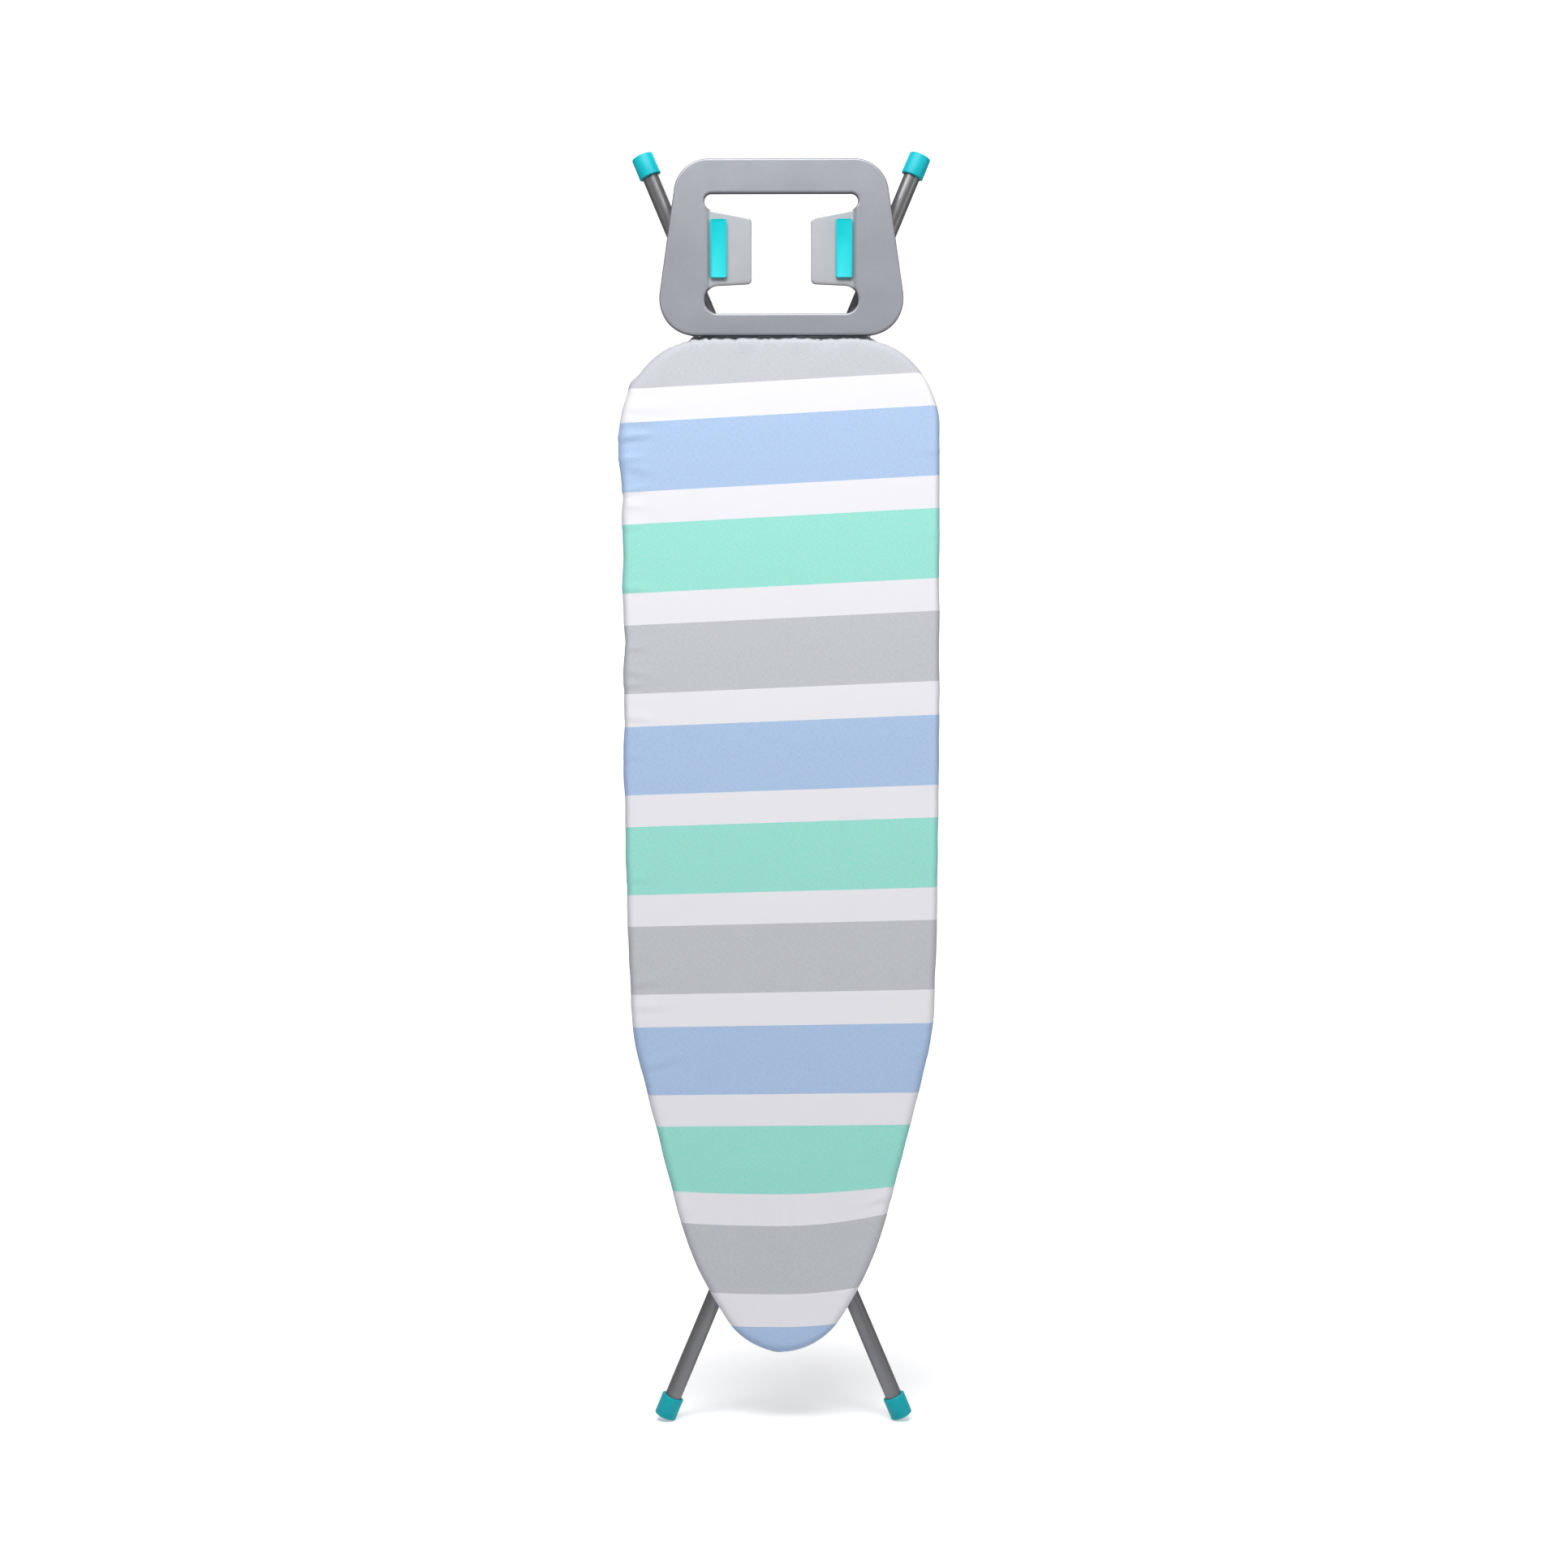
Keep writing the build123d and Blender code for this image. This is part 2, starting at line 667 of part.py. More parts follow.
# ---------------------------------------------------------------- iron rest
def rest_face():
    """Plan of the iron rest with its window and its two tongues."""
    outer = Polygon((-rest_bottom_half_width, rest_bottom), (rest_bottom_half_width, rest_bottom),
                    (rest_top_half_width, rest_top), (-rest_top_half_width, rest_top),
                    align=None)
    outer = fillet(outer.vertices().group_by(Axis.Y)[0], rest_bottom_corner)
    outer = fillet(outer.vertices().group_by(Axis.Y)[-1], rest_top_corner)
    right = [(window_half_width, window_top, top_slot_corner),
             (window_half_width, tongue_root_top, top_slot_corner),
             (tongue_tip, tongue_tip_top, tongue_corner),
             (tongue_tip, tongue_tip_bottom, tongue_corner),
             (window_half_width, tongue_root_bottom, bottom_slot_corner),
             (window_half_width, window_bottom, bottom_slot_corner)]
    corners = right + [(-x, z, r) for x, z, r in reversed(right)]
    window = Polygon(*[(x, z) for x, z, _ in corners], align=None)
    for x, z, radius in corners:
        nearest = window.vertices().sort_by_distance((x, z, 0))[0]
        window = fillet(nearest, radius)
    return outer - window


def make_iron_rest():
    """Pressed steel rest: a flanged plate whose tongues step back from its face."""
    face = rest_face()
    back = rest_front + rest_depth
    solid = plate(face, rest_front, back)
    solid = fillet(solid.edges().group_by(Axis.Y)[0], rest_press_radius)
    shell = solid - plate(offset(face, -rest_sheet), rest_front + rest_sheet, back)

    fold_end = tongue_fold - tongue_fold_width
    low, high = window_bottom + rest_sheet, window_top - rest_sheet
    zone = box((-tongue_fold, rest_front, low), (tongue_fold, back, high))
    inner_zone = box((-fold_end, rest_front, low), (fold_end, rest_front + tongue_lip, high))
    rest = shell - zone
    rest += Pos(0, tongue_step, 0) * (shell & inner_zone)

    fold = Polygon((fold_end, rest_front + tongue_step), (tongue_fold, rest_front),
                   (tongue_fold, rest_front + rest_sheet),
                   (fold_end, rest_front + tongue_step + rest_sheet), align=None)
    fold = extrude(Pos(0, 0, low) * fold, high - low, dir=(0, 0, 1))
    fold = fold & plate(face, rest_front, back)
    rest = rest + fold + mirrored(fold)
    for side in (-1, 1):
        for z in pad_stud_heights():
            hole = Pos(side * rest_pad_x, z) * Circle(pad_stud_radius + running_gap)
            rest -= plate(hole, rest_front, back)
    return rest


def pad_stud_heights():
    middle = (tongue_tip_top + tongue_tip_bottom) / 2 + rest_pad_rise
    return [middle - pad_stud_spacing / 2, middle + pad_stud_spacing / 2]


def make_rest_pad():
    """Right-hand heat-proof pad, pushed through the tongue on two studs."""
    seat = rest_front + tongue_step
    middle = sum(pad_stud_heights()) / 2
    outline = Pos(rest_pad_x, middle) * RectangleRounded(rest_pad_width, rest_pad_height,
                                                          rest_pad_corner)
    pad = plate(outline, seat - rest_pad_thickness, seat)
    pad = fillet(pad.edges().group_by(Axis.Y)[0], rest_pad_edge)
    for z in pad_stud_heights():
        shank = Pos(rest_pad_x, z) * Circle(pad_stud_radius)
        head = Pos(rest_pad_x, z) * Circle(pad_stud_head)
        pad += plate(shank, seat, seat + rest_sheet)
        pad += plate(head, seat + rest_sheet, seat + rest_sheet + pad_stud_head_height)
    return pad


def make_rest_rod():
    """Right-hand rod that carries the iron rest from under the board."""
    front = rest_front + rest_sheet + rest_rod_radius
    crank = tail_height + cover_grow + rest_rod_crank
    path = FilletPolyline(
        (rest_rod_x, rest_rod_depth, rest_rod_bottom),
        (rest_rod_x, rest_rod_depth, crank),
        (rest_rod_x, front, crank + rest_rod_crank_length),
        (rest_rod_x, front, rest_rod_top), radius=rest_rod_bend)
    return swept_round(path, rest_rod_radius)


def make_clamps():
    """Moulded blocks that hold the rest rods to the two rear ribs."""
    inner = web_outer + rail_flange
    outer = clamp_x + clamp_edge
    blocks = []
    for z in clamp_heights():
        outline = Pos((inner + outer) / 2, z) * RectangleRounded(
            outer - inner, clamp_height, rail_corner)
        block = plate(outline, rib_back, clamp_depth)
        plane = Plane(origin=(rest_rod_x, rest_rod_depth, z - clamp_height))
        block -= Solid.make_cylinder(rest_rod_radius + running_gap, 2 * clamp_height, plane)
        block -= plate(Pos(clamp_x, z) * Circle(clamp_screw_radius + running_gap),
                       rib_back, clamp_depth)
        blocks += [block, mirrored(block)]
    return Compound(children=blocks)


def make_clamp_screws():
    """Pan-head screws through the clamp blocks into the ribs."""
    back = clamp_depth + clamp_screw_head_height
    screws = []
    for z in clamp_heights():
        shank = plate(Pos(clamp_x, z) * Circle(clamp_screw_radius), deck_back, clamp_depth)
        head = plate(Pos(clamp_x, z) * Circle(clamp_screw_head), clamp_depth, back)
        head = fillet(head.edges().group_by(Axis.Y)[-1], small_round)
        bar = Rectangle(screw_recess_length, screw_recess_width)
        recess = Pos(clamp_x, z) * (bar + Rot(0, 0, 90) * bar)
        head -= plate(recess, back - screw_recess_depth, back)
        screw = shank + head
        screws += [screw, mirrored(screw)]
    return Compound(children=screws)


# ---------------------------------------------------------------- build and export
def build():
    os.makedirs("parts", exist_ok=True)

    save("deck_mesh", make_deck())
    save("board_rim", make_rim())
    save("underlay_pad", make_pad())
    save("cover", make_cover())
    for name, height in rib_heights.items():
        save(name, make_rib(height))
    rail = make_rail()
    save("right_rail", rail)
    save("left_rail", mirrored(rail))
    save("rail_rivets", make_rail_rivets())

    rod_end = web_outer + cap_gap + end_cap_length - end_cap_floor
    save("tail_pivot_rod", cylinder_x(bar_radius, -rod_end, rod_end, pivot_depth,
                                      tail_pivot_height))
    save("pivot_rod_caps", Pos(0, 0, tail_pivot_height) * make_end_caps(web_outer + cap_gap))
    lug_outer = inner_leg_half_spacing + lug_thickness / 2 + side_play
    lug_inner = inner_leg_half_spacing - lug_thickness / 2 - side_play
    outer_spacer = spacer(lug_outer, web_inner - side_play)
    save("right_pivot_spacer", outer_spacer)
    save("left_pivot_spacer", mirrored(outer_spacer))
    save("centre_pivot_spacer", spacer(-lug_inner, lug_inner))

    legs = {"front_leg": (inner_leg_half_spacing, False, front_brace_height),
            "rear_leg": (outer_leg_half_spacing, True, rear_brace_height)}
    for name, (half_spacing, upwards, brace_height) in legs.items():
        lug = make_lug(half_spacing, upwards)
        pieces = {"lug": lug,
                  "tube": make_tube(half_spacing, upwards, lug),
                  "foot": make_foot(half_spacing, upwards)}
        for piece, shape in pieces.items():
            save(f"{name}_right_{piece}", shape)
            save(f"{name}_left_{piece}", mirrored(shape))
        save(f"{name}_brace", make_brace(half_spacing, brace_height))
    save("cross_rivets", both_sides(make_cross_rivet()))
    save("cross_washers", both_sides(make_cross_washer()))

    bar_end = web_outer + side_play + roller_flange
    slide_end = bar_end + cap_gap + end_cap_length - end_cap_floor
    save("slide_bar", cylinder_x(bar_radius, -slide_end, slide_end, pivot_depth,
                                 slide_bar_height))
    roller = make_roller()
    save("right_slide_roller", roller)
    save("left_slide_roller", mirrored(roller))
    save("slide_bar_caps", Pos(0, 0, slide_bar_height) * make_end_caps(bar_end + cap_gap))

    save("lever_rod", make_lever_rod())
    save("lock_plate", make_lock_plate())
    save("lever_grip", make_grip())
    save("lever_clip", make_lever_clip())
    save("lever_spring", make_spring())

    save("iron_rest", make_iron_rest())
    rest_pad = make_rest_pad()
    save("right_rest_pad", rest_pad)
    save("left_rest_pad", mirrored(rest_pad))
    rest_rod = make_rest_rod()
    save("right_rest_rod", rest_rod)
    save("left_rest_rod", mirrored(rest_rod))
    save("rest_rod_clamps", make_clamps())
    save("clamp_screws", make_clamp_screws())


build()
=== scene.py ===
from math import atan2, ceil, cos, exp, floor, pi, radians, sin, tan

import bmesh
import bpy
from mathutils import Matrix, Vector, noise


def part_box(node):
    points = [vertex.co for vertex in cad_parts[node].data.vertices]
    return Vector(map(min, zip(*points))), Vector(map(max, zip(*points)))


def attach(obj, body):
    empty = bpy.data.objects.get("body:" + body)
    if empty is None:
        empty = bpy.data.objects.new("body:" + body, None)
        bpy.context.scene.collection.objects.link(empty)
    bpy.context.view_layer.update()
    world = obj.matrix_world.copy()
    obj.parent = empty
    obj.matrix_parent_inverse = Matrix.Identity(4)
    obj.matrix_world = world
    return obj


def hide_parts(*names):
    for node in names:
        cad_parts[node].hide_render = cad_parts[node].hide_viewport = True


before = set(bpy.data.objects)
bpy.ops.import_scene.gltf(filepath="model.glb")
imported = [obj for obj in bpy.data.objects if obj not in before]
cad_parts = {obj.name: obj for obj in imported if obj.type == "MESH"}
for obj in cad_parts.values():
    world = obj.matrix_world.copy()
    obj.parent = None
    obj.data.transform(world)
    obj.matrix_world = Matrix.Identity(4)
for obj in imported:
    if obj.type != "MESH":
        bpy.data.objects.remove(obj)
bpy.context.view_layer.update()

# A folding ironing board, stood upright and folded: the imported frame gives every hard
# part, and this script adds the cloth, the felt, the expanded mesh, the pressed iron
# rest, its pads, the lever's grip and the moulded feet, with a finish for each. Sizes are metres.
mm = 0.001

# ---------------------------------------------------------------- sizes read from the frame
rim_low, rim_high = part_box("board_rim")
felt_low, felt_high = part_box("underlay_pad")
cover_low, cover_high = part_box("cover")
rest_low, rest_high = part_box("iron_rest")
deck_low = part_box("deck_mesh")[0]
rod_low, rod_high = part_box("right_rest_rod")

board_half_width = rim_high.x
nose_height = rim_low.z
tail_height = rim_high.z
deck_front = deck_low.y
cover_front = cover_low.y
cover_back = cover_high.y
cover_grow = cover_high.x - board_half_width
rod_x = (rod_low.x + rod_high.x) / 2

# ---------------------------------------------------------------- the board's edge line
nose_radius = 65 * mm
flank_radius = 357 * mm
shoulder_radius = 245 * mm
side_radius = 7365 * mm
tail_corner_radius = 90 * mm
nose_turn = 55.0              # degrees round the edge at which each arc gives way
flank_turn = 75.7
side_turn = 87.5
edge_steps = 360              # points along one side of the board, nose to tail
spine_low = nose_height + 95 * mm
spine_high = tail_height - 95 * mm

# ---------------------------------------------------------------- cloth and felt
cloth_thickness = 0.6 * mm
front_round = 8 * mm          # rounding of the cloth over the felt's edge
back_round = 4 * mm
hem_width = 35 * mm           # cloth that turns in behind the board
section_step = 2.6 * mm
front_rings = 26
round_steps = 5               # steps round each of the cloth's two bends
cloth_weld = 0.2 * mm         # points nearer than this, at the spine's ends, are merged
tuck_rise = 3.2 * mm          # cloth behind the iron rest's lower edge, above the cover's own
tuck_half_width = 102 * mm
tuck_fade = 12 * mm
loose_cloth = 0.35 * mm       # unevenness of the cloth all round the edge
left_slack = 1.5 * mm
left_shoulder_puff = 3.2 * mm
right_pull = 1.6 * mm         # the cloth is drawn tighter along the right-hand side
tail_pucker = 1.3 * mm
tail_pucker_size = 5 * mm
tail_gather_rise = 1.1 * mm
tail_gather_size = 4.2 * mm
tail_gather_half_width = 110 * mm
nose_slack = 1.5 * mm
nose_puff = 1.4 * mm
nose_tip_puff = 0.8 * mm
face_slack = 0.14 * mm
gather_depth = 2.6 * mm
gather_pitch = 10.5 * mm
rod_clearance = 7 * mm        # the hem lies flat this near to a rest rod
hem_band_radius = 1.9 * mm
stitch_inset = 8 * mm
stitch_length = 3.2 * mm
stitch_radius = 0.35 * mm
felt_grow = 0.4 * mm
felt_edge = 3 * mm            # rounding of the felt's edges
felt_inset = 0.4 * mm         # the felt's front lies this far behind the frame's own pad
felt_rings = 12
felt_round_steps = 4
felt_unevenness = 0.3 * mm

stripe_top = 1127.0 * mm      # top of the highest white stripe at the middle of the board
stripe_repeat = 108.8 * mm
white_stripe = 34.7 * mm
stripe_climb = 0.056          # slope of the stripes near the tail
right_bow = 14.5 * mm         # sag of the stripes near the nose, at the edges
left_bow = 4 * mm
bow_reach = 113 * mm          # half width of the board where the stripes' bow is full
thread_pitch = 0.55 * mm

# ---------------------------------------------------------------- expanded mesh
mesh_pitch_x = 28 * mm
mesh_pitch_z = 12 * mm
mesh_strand = 1.25 * mm       # half the width of a strand
mesh_thickness = 1.1 * mm
mesh_tuck = 3 * mm            # the mesh ends this far inside the rim's outside
strand_twist = 0.5 * mm

# ---------------------------------------------------------------- iron rest and pads
rest_half_bottom = 135.9 * mm
rest_half_top = 109.4 * mm
rest_bottom_corner = 40 * mm
rest_top_corner = 36 * mm
rest_press_radius = 2.4 * mm
rest_sheet = 1.2 * mm
window_half_width = 81.5 * mm
window_bottom = rest_low.z + 23 * mm
window_top = rest_high.z - 36.6 * mm
tongue_tip = window_half_width - 50 * mm
tongue_root_bottom = window_bottom + 29.4 * mm
tongue_tip_bottom = tongue_root_bottom + 2.4 * mm
tongue_tip_top = tongue_tip_bottom + 70 * mm
tongue_root_top = window_top - 15.7 * mm
tongue_corner = 5 * mm
top_slot_corner = 7.3 * mm
bottom_slot_corner = 14 * mm
fold_start = window_half_width - 0.6 * mm
fold_width = 6 * mm
fold_steps = 6
tongue_step = 4 * mm
window_cut_margin = 2 * mm
corner_steps = 26
pad_border = 1.7 * mm
pad_recess = 0.9 * mm
pad_corner = 2 * mm
pad_edge_round = 0.45 * mm
pad_stud_spacing = 40 * mm
stud_radius = 2.4 * mm
stud_head_radius = 3.6 * mm
stud_head_height = 1.2 * mm
near_enough = 1 * mm          # how near a corner lies to a line that it is picked by

# ---------------------------------------------------------------- feet and lever grip
foot_radius = 12 * mm
foot_length = 24 * mm
foot_bore = 9.05 * mm
foot_cup_depth = 20 * mm
foot_lip = 2.2 * mm
leg_splay = radians(22.7)
grip_ribs = 9
grip_end = 8 * mm             # plain length at each end of the lever's grip

# ---------------------------------------------------------------- colours
white_yarn = (0.86, 0.85, 0.89)
blue_yarn = (0.36, 0.53, 0.80)
mint_yarn = (0.25, 0.77, 0.65)
grey_yarn = (0.51, 0.525, 0.555)
slub_yarn = (0.84, 0.85, 0.88)
# painted shade where the cloth turns round the board's edge
edge_shade_grey = (0.66, 0.67, 0.70)
hem_shade, hem_white = (0.70, 0.70, 0.72), (0.86, 0.86, 0.88)
thread_shade, thread_white = (0.72, 0.72, 0.74), (0.9, 0.9, 0.9)
felt_grey, felt_white = (0.50, 0.50, 0.49), (0.86, 0.86, 0.84)
leg_silver = (0.24, 0.24, 0.25)
frame_grey = (0.42, 0.42, 0.43)
rest_silver = (0.31, 0.325, 0.35)
# painted shade along the iron rest's pressed edges
rest_edge_shade = (0.09, 0.09, 0.10)
# painted highlight on the iron rest's folded tongues
tongue_highlight = (0.9, 0.92, 0.94)
mesh_grey = (0.55, 0.55, 0.56)
zinc_grey = (0.56, 0.56, 0.58)
nylon_black = (0.02, 0.02, 0.022)
foot_turquoise = (0.0, 0.39, 0.45)
pad_turquoise = (0.0, 0.49, 0.53)
floor_shade, floor_white = (0.86, 0.86, 0.87), (0.90, 0.90, 0.91)
sky_white = (0.95, 0.97, 1.0)

# ---------------------------------------------------------------- stage and camera
studio_radius = 7.5
studio_sweep = 2.0
studio_height = 8.0
studio_steps = 96
sweep_steps = 12
floor_rings = (0.05, 0.5, 2.0)
lit_radius = 0.15             # inside this the floor glows least
white_radius = 0.75           # beyond this the floor looks white
camera_distance = 2.49
camera_height = 0.78
camera_side = 0.002
camera_tilt = radians(1.895)
camera_roll = radians(0.1)
camera_lens = 53.5
camera_sensor = 36
sky_strength = 0.14
# The studio's lights: (name, place, the place it looks at, width and height, watts).
lights = [
    ("top light", (-0.2, -1.25, 2.65), (0, 0, 1.1), (2.0, 1.0), 61),
    ("left light", (-2.8, -1.2, 1.7), (0, 0, 0.9), (1.2, 1.8), 5),
    ("right light", (2.8, -1.2, 1.7), (0, 0, 0.9), (1.2, 1.8), 15),
    ("back light", (0.3, 1.8, 2.4), (0, 0, 0.9), (2.0, 1.2), 22),
]


# ================================================================ tools
def deselect():
    bpy.ops.object.select_all(action="DESELECT")


def make_active(piece):
    deselect()
    piece.select_set(True)
    bpy.context.view_layer.objects.active = piece


def name_piece(name):
    """The object just added, renamed, with its place moved into its mesh."""
    piece = bpy.context.object
    piece.name = piece.data.name = name
    make_active(piece)
    bpy.ops.object.transform_apply(location=True, rotation=True, scale=True)
    return piece


def apply_modifiers(piece):
    make_active(piece)
    for modifier in list(piece.modifiers):
        bpy.ops.object.modifier_apply(modifier=modifier.name)


def add_modifier(piece, kind, **settings):
    modifier = piece.modifiers.new(kind.lower(), kind)
    for key, value in settings.items():
        setattr(modifier, key, value)
    return modifier


def smooth(piece, angle=40):
    make_active(piece)
    bpy.ops.object.shade_smooth_by_angle(angle=radians(angle))


def even_shading(piece):
    """Lets the large flat faces set the shading, so that rounded edges don't bend it."""
    add_modifier(piece, "WEIGHTED_NORMAL", mode="FACE_AREA", weight=100, keep_sharp=True)
    apply_modifiers(piece)


def mesh_piece(name, corners, faces):
    """A piece from its corners and faces."""
    mesh = bpy.data.meshes.new(name)
    mesh.from_pydata(corners, [], faces)
    mesh.update()
    piece = bpy.data.objects.new(name, mesh)
    bpy.context.collection.objects.link(piece)
    return piece


def finish_piece(piece, material, body, slot, *nodes):
    """Gives a piece its material and its body, and hides the frame nodes that it stands for. The
    slot argument is not used.
    """
    piece.data.materials.clear()
    piece.data.materials.append(material)
    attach(piece, body)
    if nodes:
        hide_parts(*nodes)
    return piece


def edit(piece, kind="FACE"):
    """Opens a piece for editing with nothing selected."""
    make_active(piece)
    bpy.ops.object.mode_set(mode="EDIT")
    bpy.ops.mesh.select_mode(type=kind)
    bpy.ops.mesh.select_all(action="DESELECT")


def close_edit():
    bpy.ops.object.mode_set(mode="OBJECT")


def pick(piece, kind, test):
    """Selects the vertices, edges or faces of an open piece that pass a test on their middle."""
    mesh = bmesh.from_edit_mesh(piece.data)
    parts = {"VERT": mesh.verts, "EDGE": mesh.edges, "FACE": mesh.faces}[kind]
    for part in parts:
        if kind == "VERT":
            middle = part.co
        elif kind == "EDGE":
            middle = (part.verts[0].co + part.verts[1].co) / 2
        else:
            middle = part.calc_center_median()
        if test(middle):
            part.select_set(True)
    mesh.select_flush_mode()
    bmesh.update_edit_mesh(piece.data)


def recalculate(piece, weld=0.01 * mm):
    """Merges doubles and turns all faces outwards."""
    edit(piece)
    bpy.ops.mesh.select_all(action="SELECT")
    bpy.ops.mesh.remove_doubles(threshold=weld)
    bpy.ops.mesh.normals_make_consistent(inside=False)
    close_edit()


def lofted(name, sections):
    """A surface through equal rows of points; the last row joins the first."""
    count = len(sections[0])
    corners = [corner for section in sections for corner in section]
    faces = []
    for row in range(len(sections)):
        here, after = row * count, ((row + 1) % len(sections)) * count
        for step in range(count - 1):
            faces.append((here + step, here + step + 1, after + step + 1, after + step))
    return mesh_piece(name, corners, faces)


def ease(value, low, high):
    """0 below low, 1 above high, and a smooth rise between."""
    part = min(max((value - low) / (high - low), 0.0), 1.0)
    return part * part * (3 - 2 * part)


def hump(value, middle, width):
    return exp(-((value - middle) / width) ** 2)


def ripple(run, size, lane=0.0):
    """Soft seeded noise, between about -1 and 1, that changes over the given size."""
    return noise.noise(Vector((run / size, lane, 3.7))) * 2


# ================================================================ the board's edge line
def arc(centre, radius, turn_from, turn_to):
    """Length of an arc, and what gives its point and outward direction at a distance."""
    def at(distance):
        turn = radians(turn_from) + distance / radius
        outward = Vector((sin(turn), -cos(turn)))
        return centre + radius * outward, outward
    return radius * radians(turn_to - turn_from), at


def straight(start, end, turn):
    outward = Vector((sin(radians(turn)), -cos(radians(turn))))

    def at(distance):
        return start + (end - start).normalized() * distance, outward
    return (end - start).length, at


def arc_centre(start, radius, turn):
    return start - radius * Vector((sin(radians(turn)), -cos(radians(turn))))


def half_edge():
    """The runs of the board's right-hand edge, from the nose to the tail."""
    nose = Vector((0, nose_height + nose_radius))
    runs = [arc(nose, nose_radius, 0, nose_turn)]
    flank_start = runs[-1][1](runs[-1][0])[0]
    flank = arc_centre(flank_start, flank_radius, nose_turn)
    runs.append(arc(flank, flank_radius, nose_turn, flank_turn))
    flank_end = runs[-1][1](runs[-1][0])[0]

    side_x = board_half_width - side_radius * (1 - sin(radians(side_turn)))
    shoulder_x = side_x - shoulder_radius * (sin(radians(side_turn)) - sin(radians(flank_turn)))
    rise = (shoulder_x - flank_end.x) * tan(radians(flank_turn))
    shoulder_start = Vector((shoulder_x, flank_end.y + rise))
    runs.append(straight(flank_end, shoulder_start, flank_turn))
    shoulder = arc_centre(shoulder_start, shoulder_radius, flank_turn)
    runs.append(arc(shoulder, shoulder_radius, flank_turn, side_turn))
    shoulder_end = runs[-1][1](runs[-1][0])[0]
    side = arc_centre(shoulder_end, side_radius, side_turn)
    runs.append(arc(side, side_radius, side_turn, 90))
    side_end = runs[-1][1](runs[-1][0])[0]

    corner = Vector((board_half_width, tail_height)) - Vector((1, 1)) * tail_corner_radius
    runs.append(straight(side_end, Vector((board_half_width, corner.y)), 90))
    runs.append(arc(corner, tail_corner_radius, 90, 180))
    runs.append(straight(Vector((corner.x, tail_height)), Vector((0, tail_height)), 180))
    return runs


def board_edge(steps):
    """Points round the whole edge, each with its outward direction and its run from the nose.

    They go up the right-hand side from the nose and down the left-hand side from the tail."""
    runs = half_edge()
    total = sum(length for length, _ in runs)
    right = []
    for step in range(steps + 1):
        distance = total * step / steps
        travelled = distance
        for length, at in runs:
            if distance <= length + 1e-9 or (length, at) == runs[-1]:
                break
            distance -= length
        point, outward = at(min(distance, length))
        right.append((point, outward, travelled))
    right[0] = (Vector((0, right[0][0].y)), Vector((0, -1)), 0.0)
    right[-1] = (Vector((0, right[-1][0].y)), Vector((0, 1)), total)
    left = [(Vector((-p.x, p.y)), Vector((-o.x, o.y)), 2 * total - s)
            for p, o, s in reversed(right[1:-1])]
    return right + left


edge = board_edge(edge_steps)


def spine_point(point):
    """The place on the board's middle line that an edge point's ring shrinks towards."""
    return Vector((0, min(max(point.y, spine_low), spine_high)))


# ================================================================ cover
# The section of the cloth, across the board's edge: (outward, depth, outward lean, depth
# lean, cloth run past the edge line). It starts where the rounding starts.
def cover_section():
    grow = cover_grow
    drop = cover_back - cover_front - front_round - back_round
    places = []
    for step in range(round_steps + 1):
        turn = pi / 2 * step / round_steps
        places.append((grow - front_round + front_round * sin(turn),
                       cover_front + front_round * (1 - cos(turn)),
                       sin(turn), -cos(turn), front_round * turn))
    run = places[-1][4]
    steps = ceil(drop / section_step)
    for step in range(1, steps + 1):
        places.append((grow, cover_front + front_round + drop * step / steps, 1, 0,
                       run + drop * step / steps))
    run = places[-1][4]
    for step in range(1, round_steps + 1):
        turn = pi / 2 * step / round_steps
        places.append((grow - back_round + back_round * cos(turn),
                       cover_back - back_round + back_round * sin(turn),
                       cos(turn), sin(turn), run + back_round * turn))
    run = places[-1][4]
    steps = ceil(hem_width / section_step)
    for step in range(1, steps + 1):
        places.append((grow - back_round - hem_width * step / steps, cover_back, 0, 1,
                       run + hem_width * step / steps))
    return places


section = cover_section()
cloth_run = section[-1][4]

# Short creases that run in from the edge: (side, height, reach, depth, width, slope).
creases = [
    (-1, 1063, 34, 2.6, 2.6, 0.10), (-1, 1079, 46, 1.1, 4.0, -0.05),
    (-1, 1089, 60, 0.8, 5.0, 0.02), (-1, 1040, 24, 2.2, 2.4, 0.02),
    (-1, 1030, 40, 1.4, 5.0, -0.35), (-1, 1006, 26, 1.8, 2.6, 0.12),
    (-1, 990, 22, 1.2, 2.4, -0.10), (-1, 968, 22, 1.4, 2.6, 0.05),
    (-1, 902, 34, 1.4, 3.0, -0.10), (-1, 838, 28, 1.3, 2.8, 0.08),
    (-1, 812, 46, 1.0, 3.6, -0.22), (-1, 799, 26, 1.4, 2.8, 0.10),
    (-1, 764, 34, 1.3, 3.0, -0.16), (-1, 722, 24, 1.0, 3.0, 0.10),
    (-1, 590, 30, 1.0, 3.4, 0.12), (-1, 478, 40, 1.0, 3.6, 0.08),
    (-1, 452, 52, 0.9, 4.0, 0.02), (-1, 388, 60, 1.0, 4.4, 0.30),
    (1, 1047, 24, 0.8, 3.4, 0.10), (1, 958, 20, 0.7, 3.0, -0.06),
    (1, 690, 22, 0.8, 3.2, 0.06), (1, 402, 26, 0.8, 3.4, -0.12),
    (1, 246, 30, 1.2, 3.6, -0.30), (-1, 232, 24, 0.9, 3.4, 0.20),
]
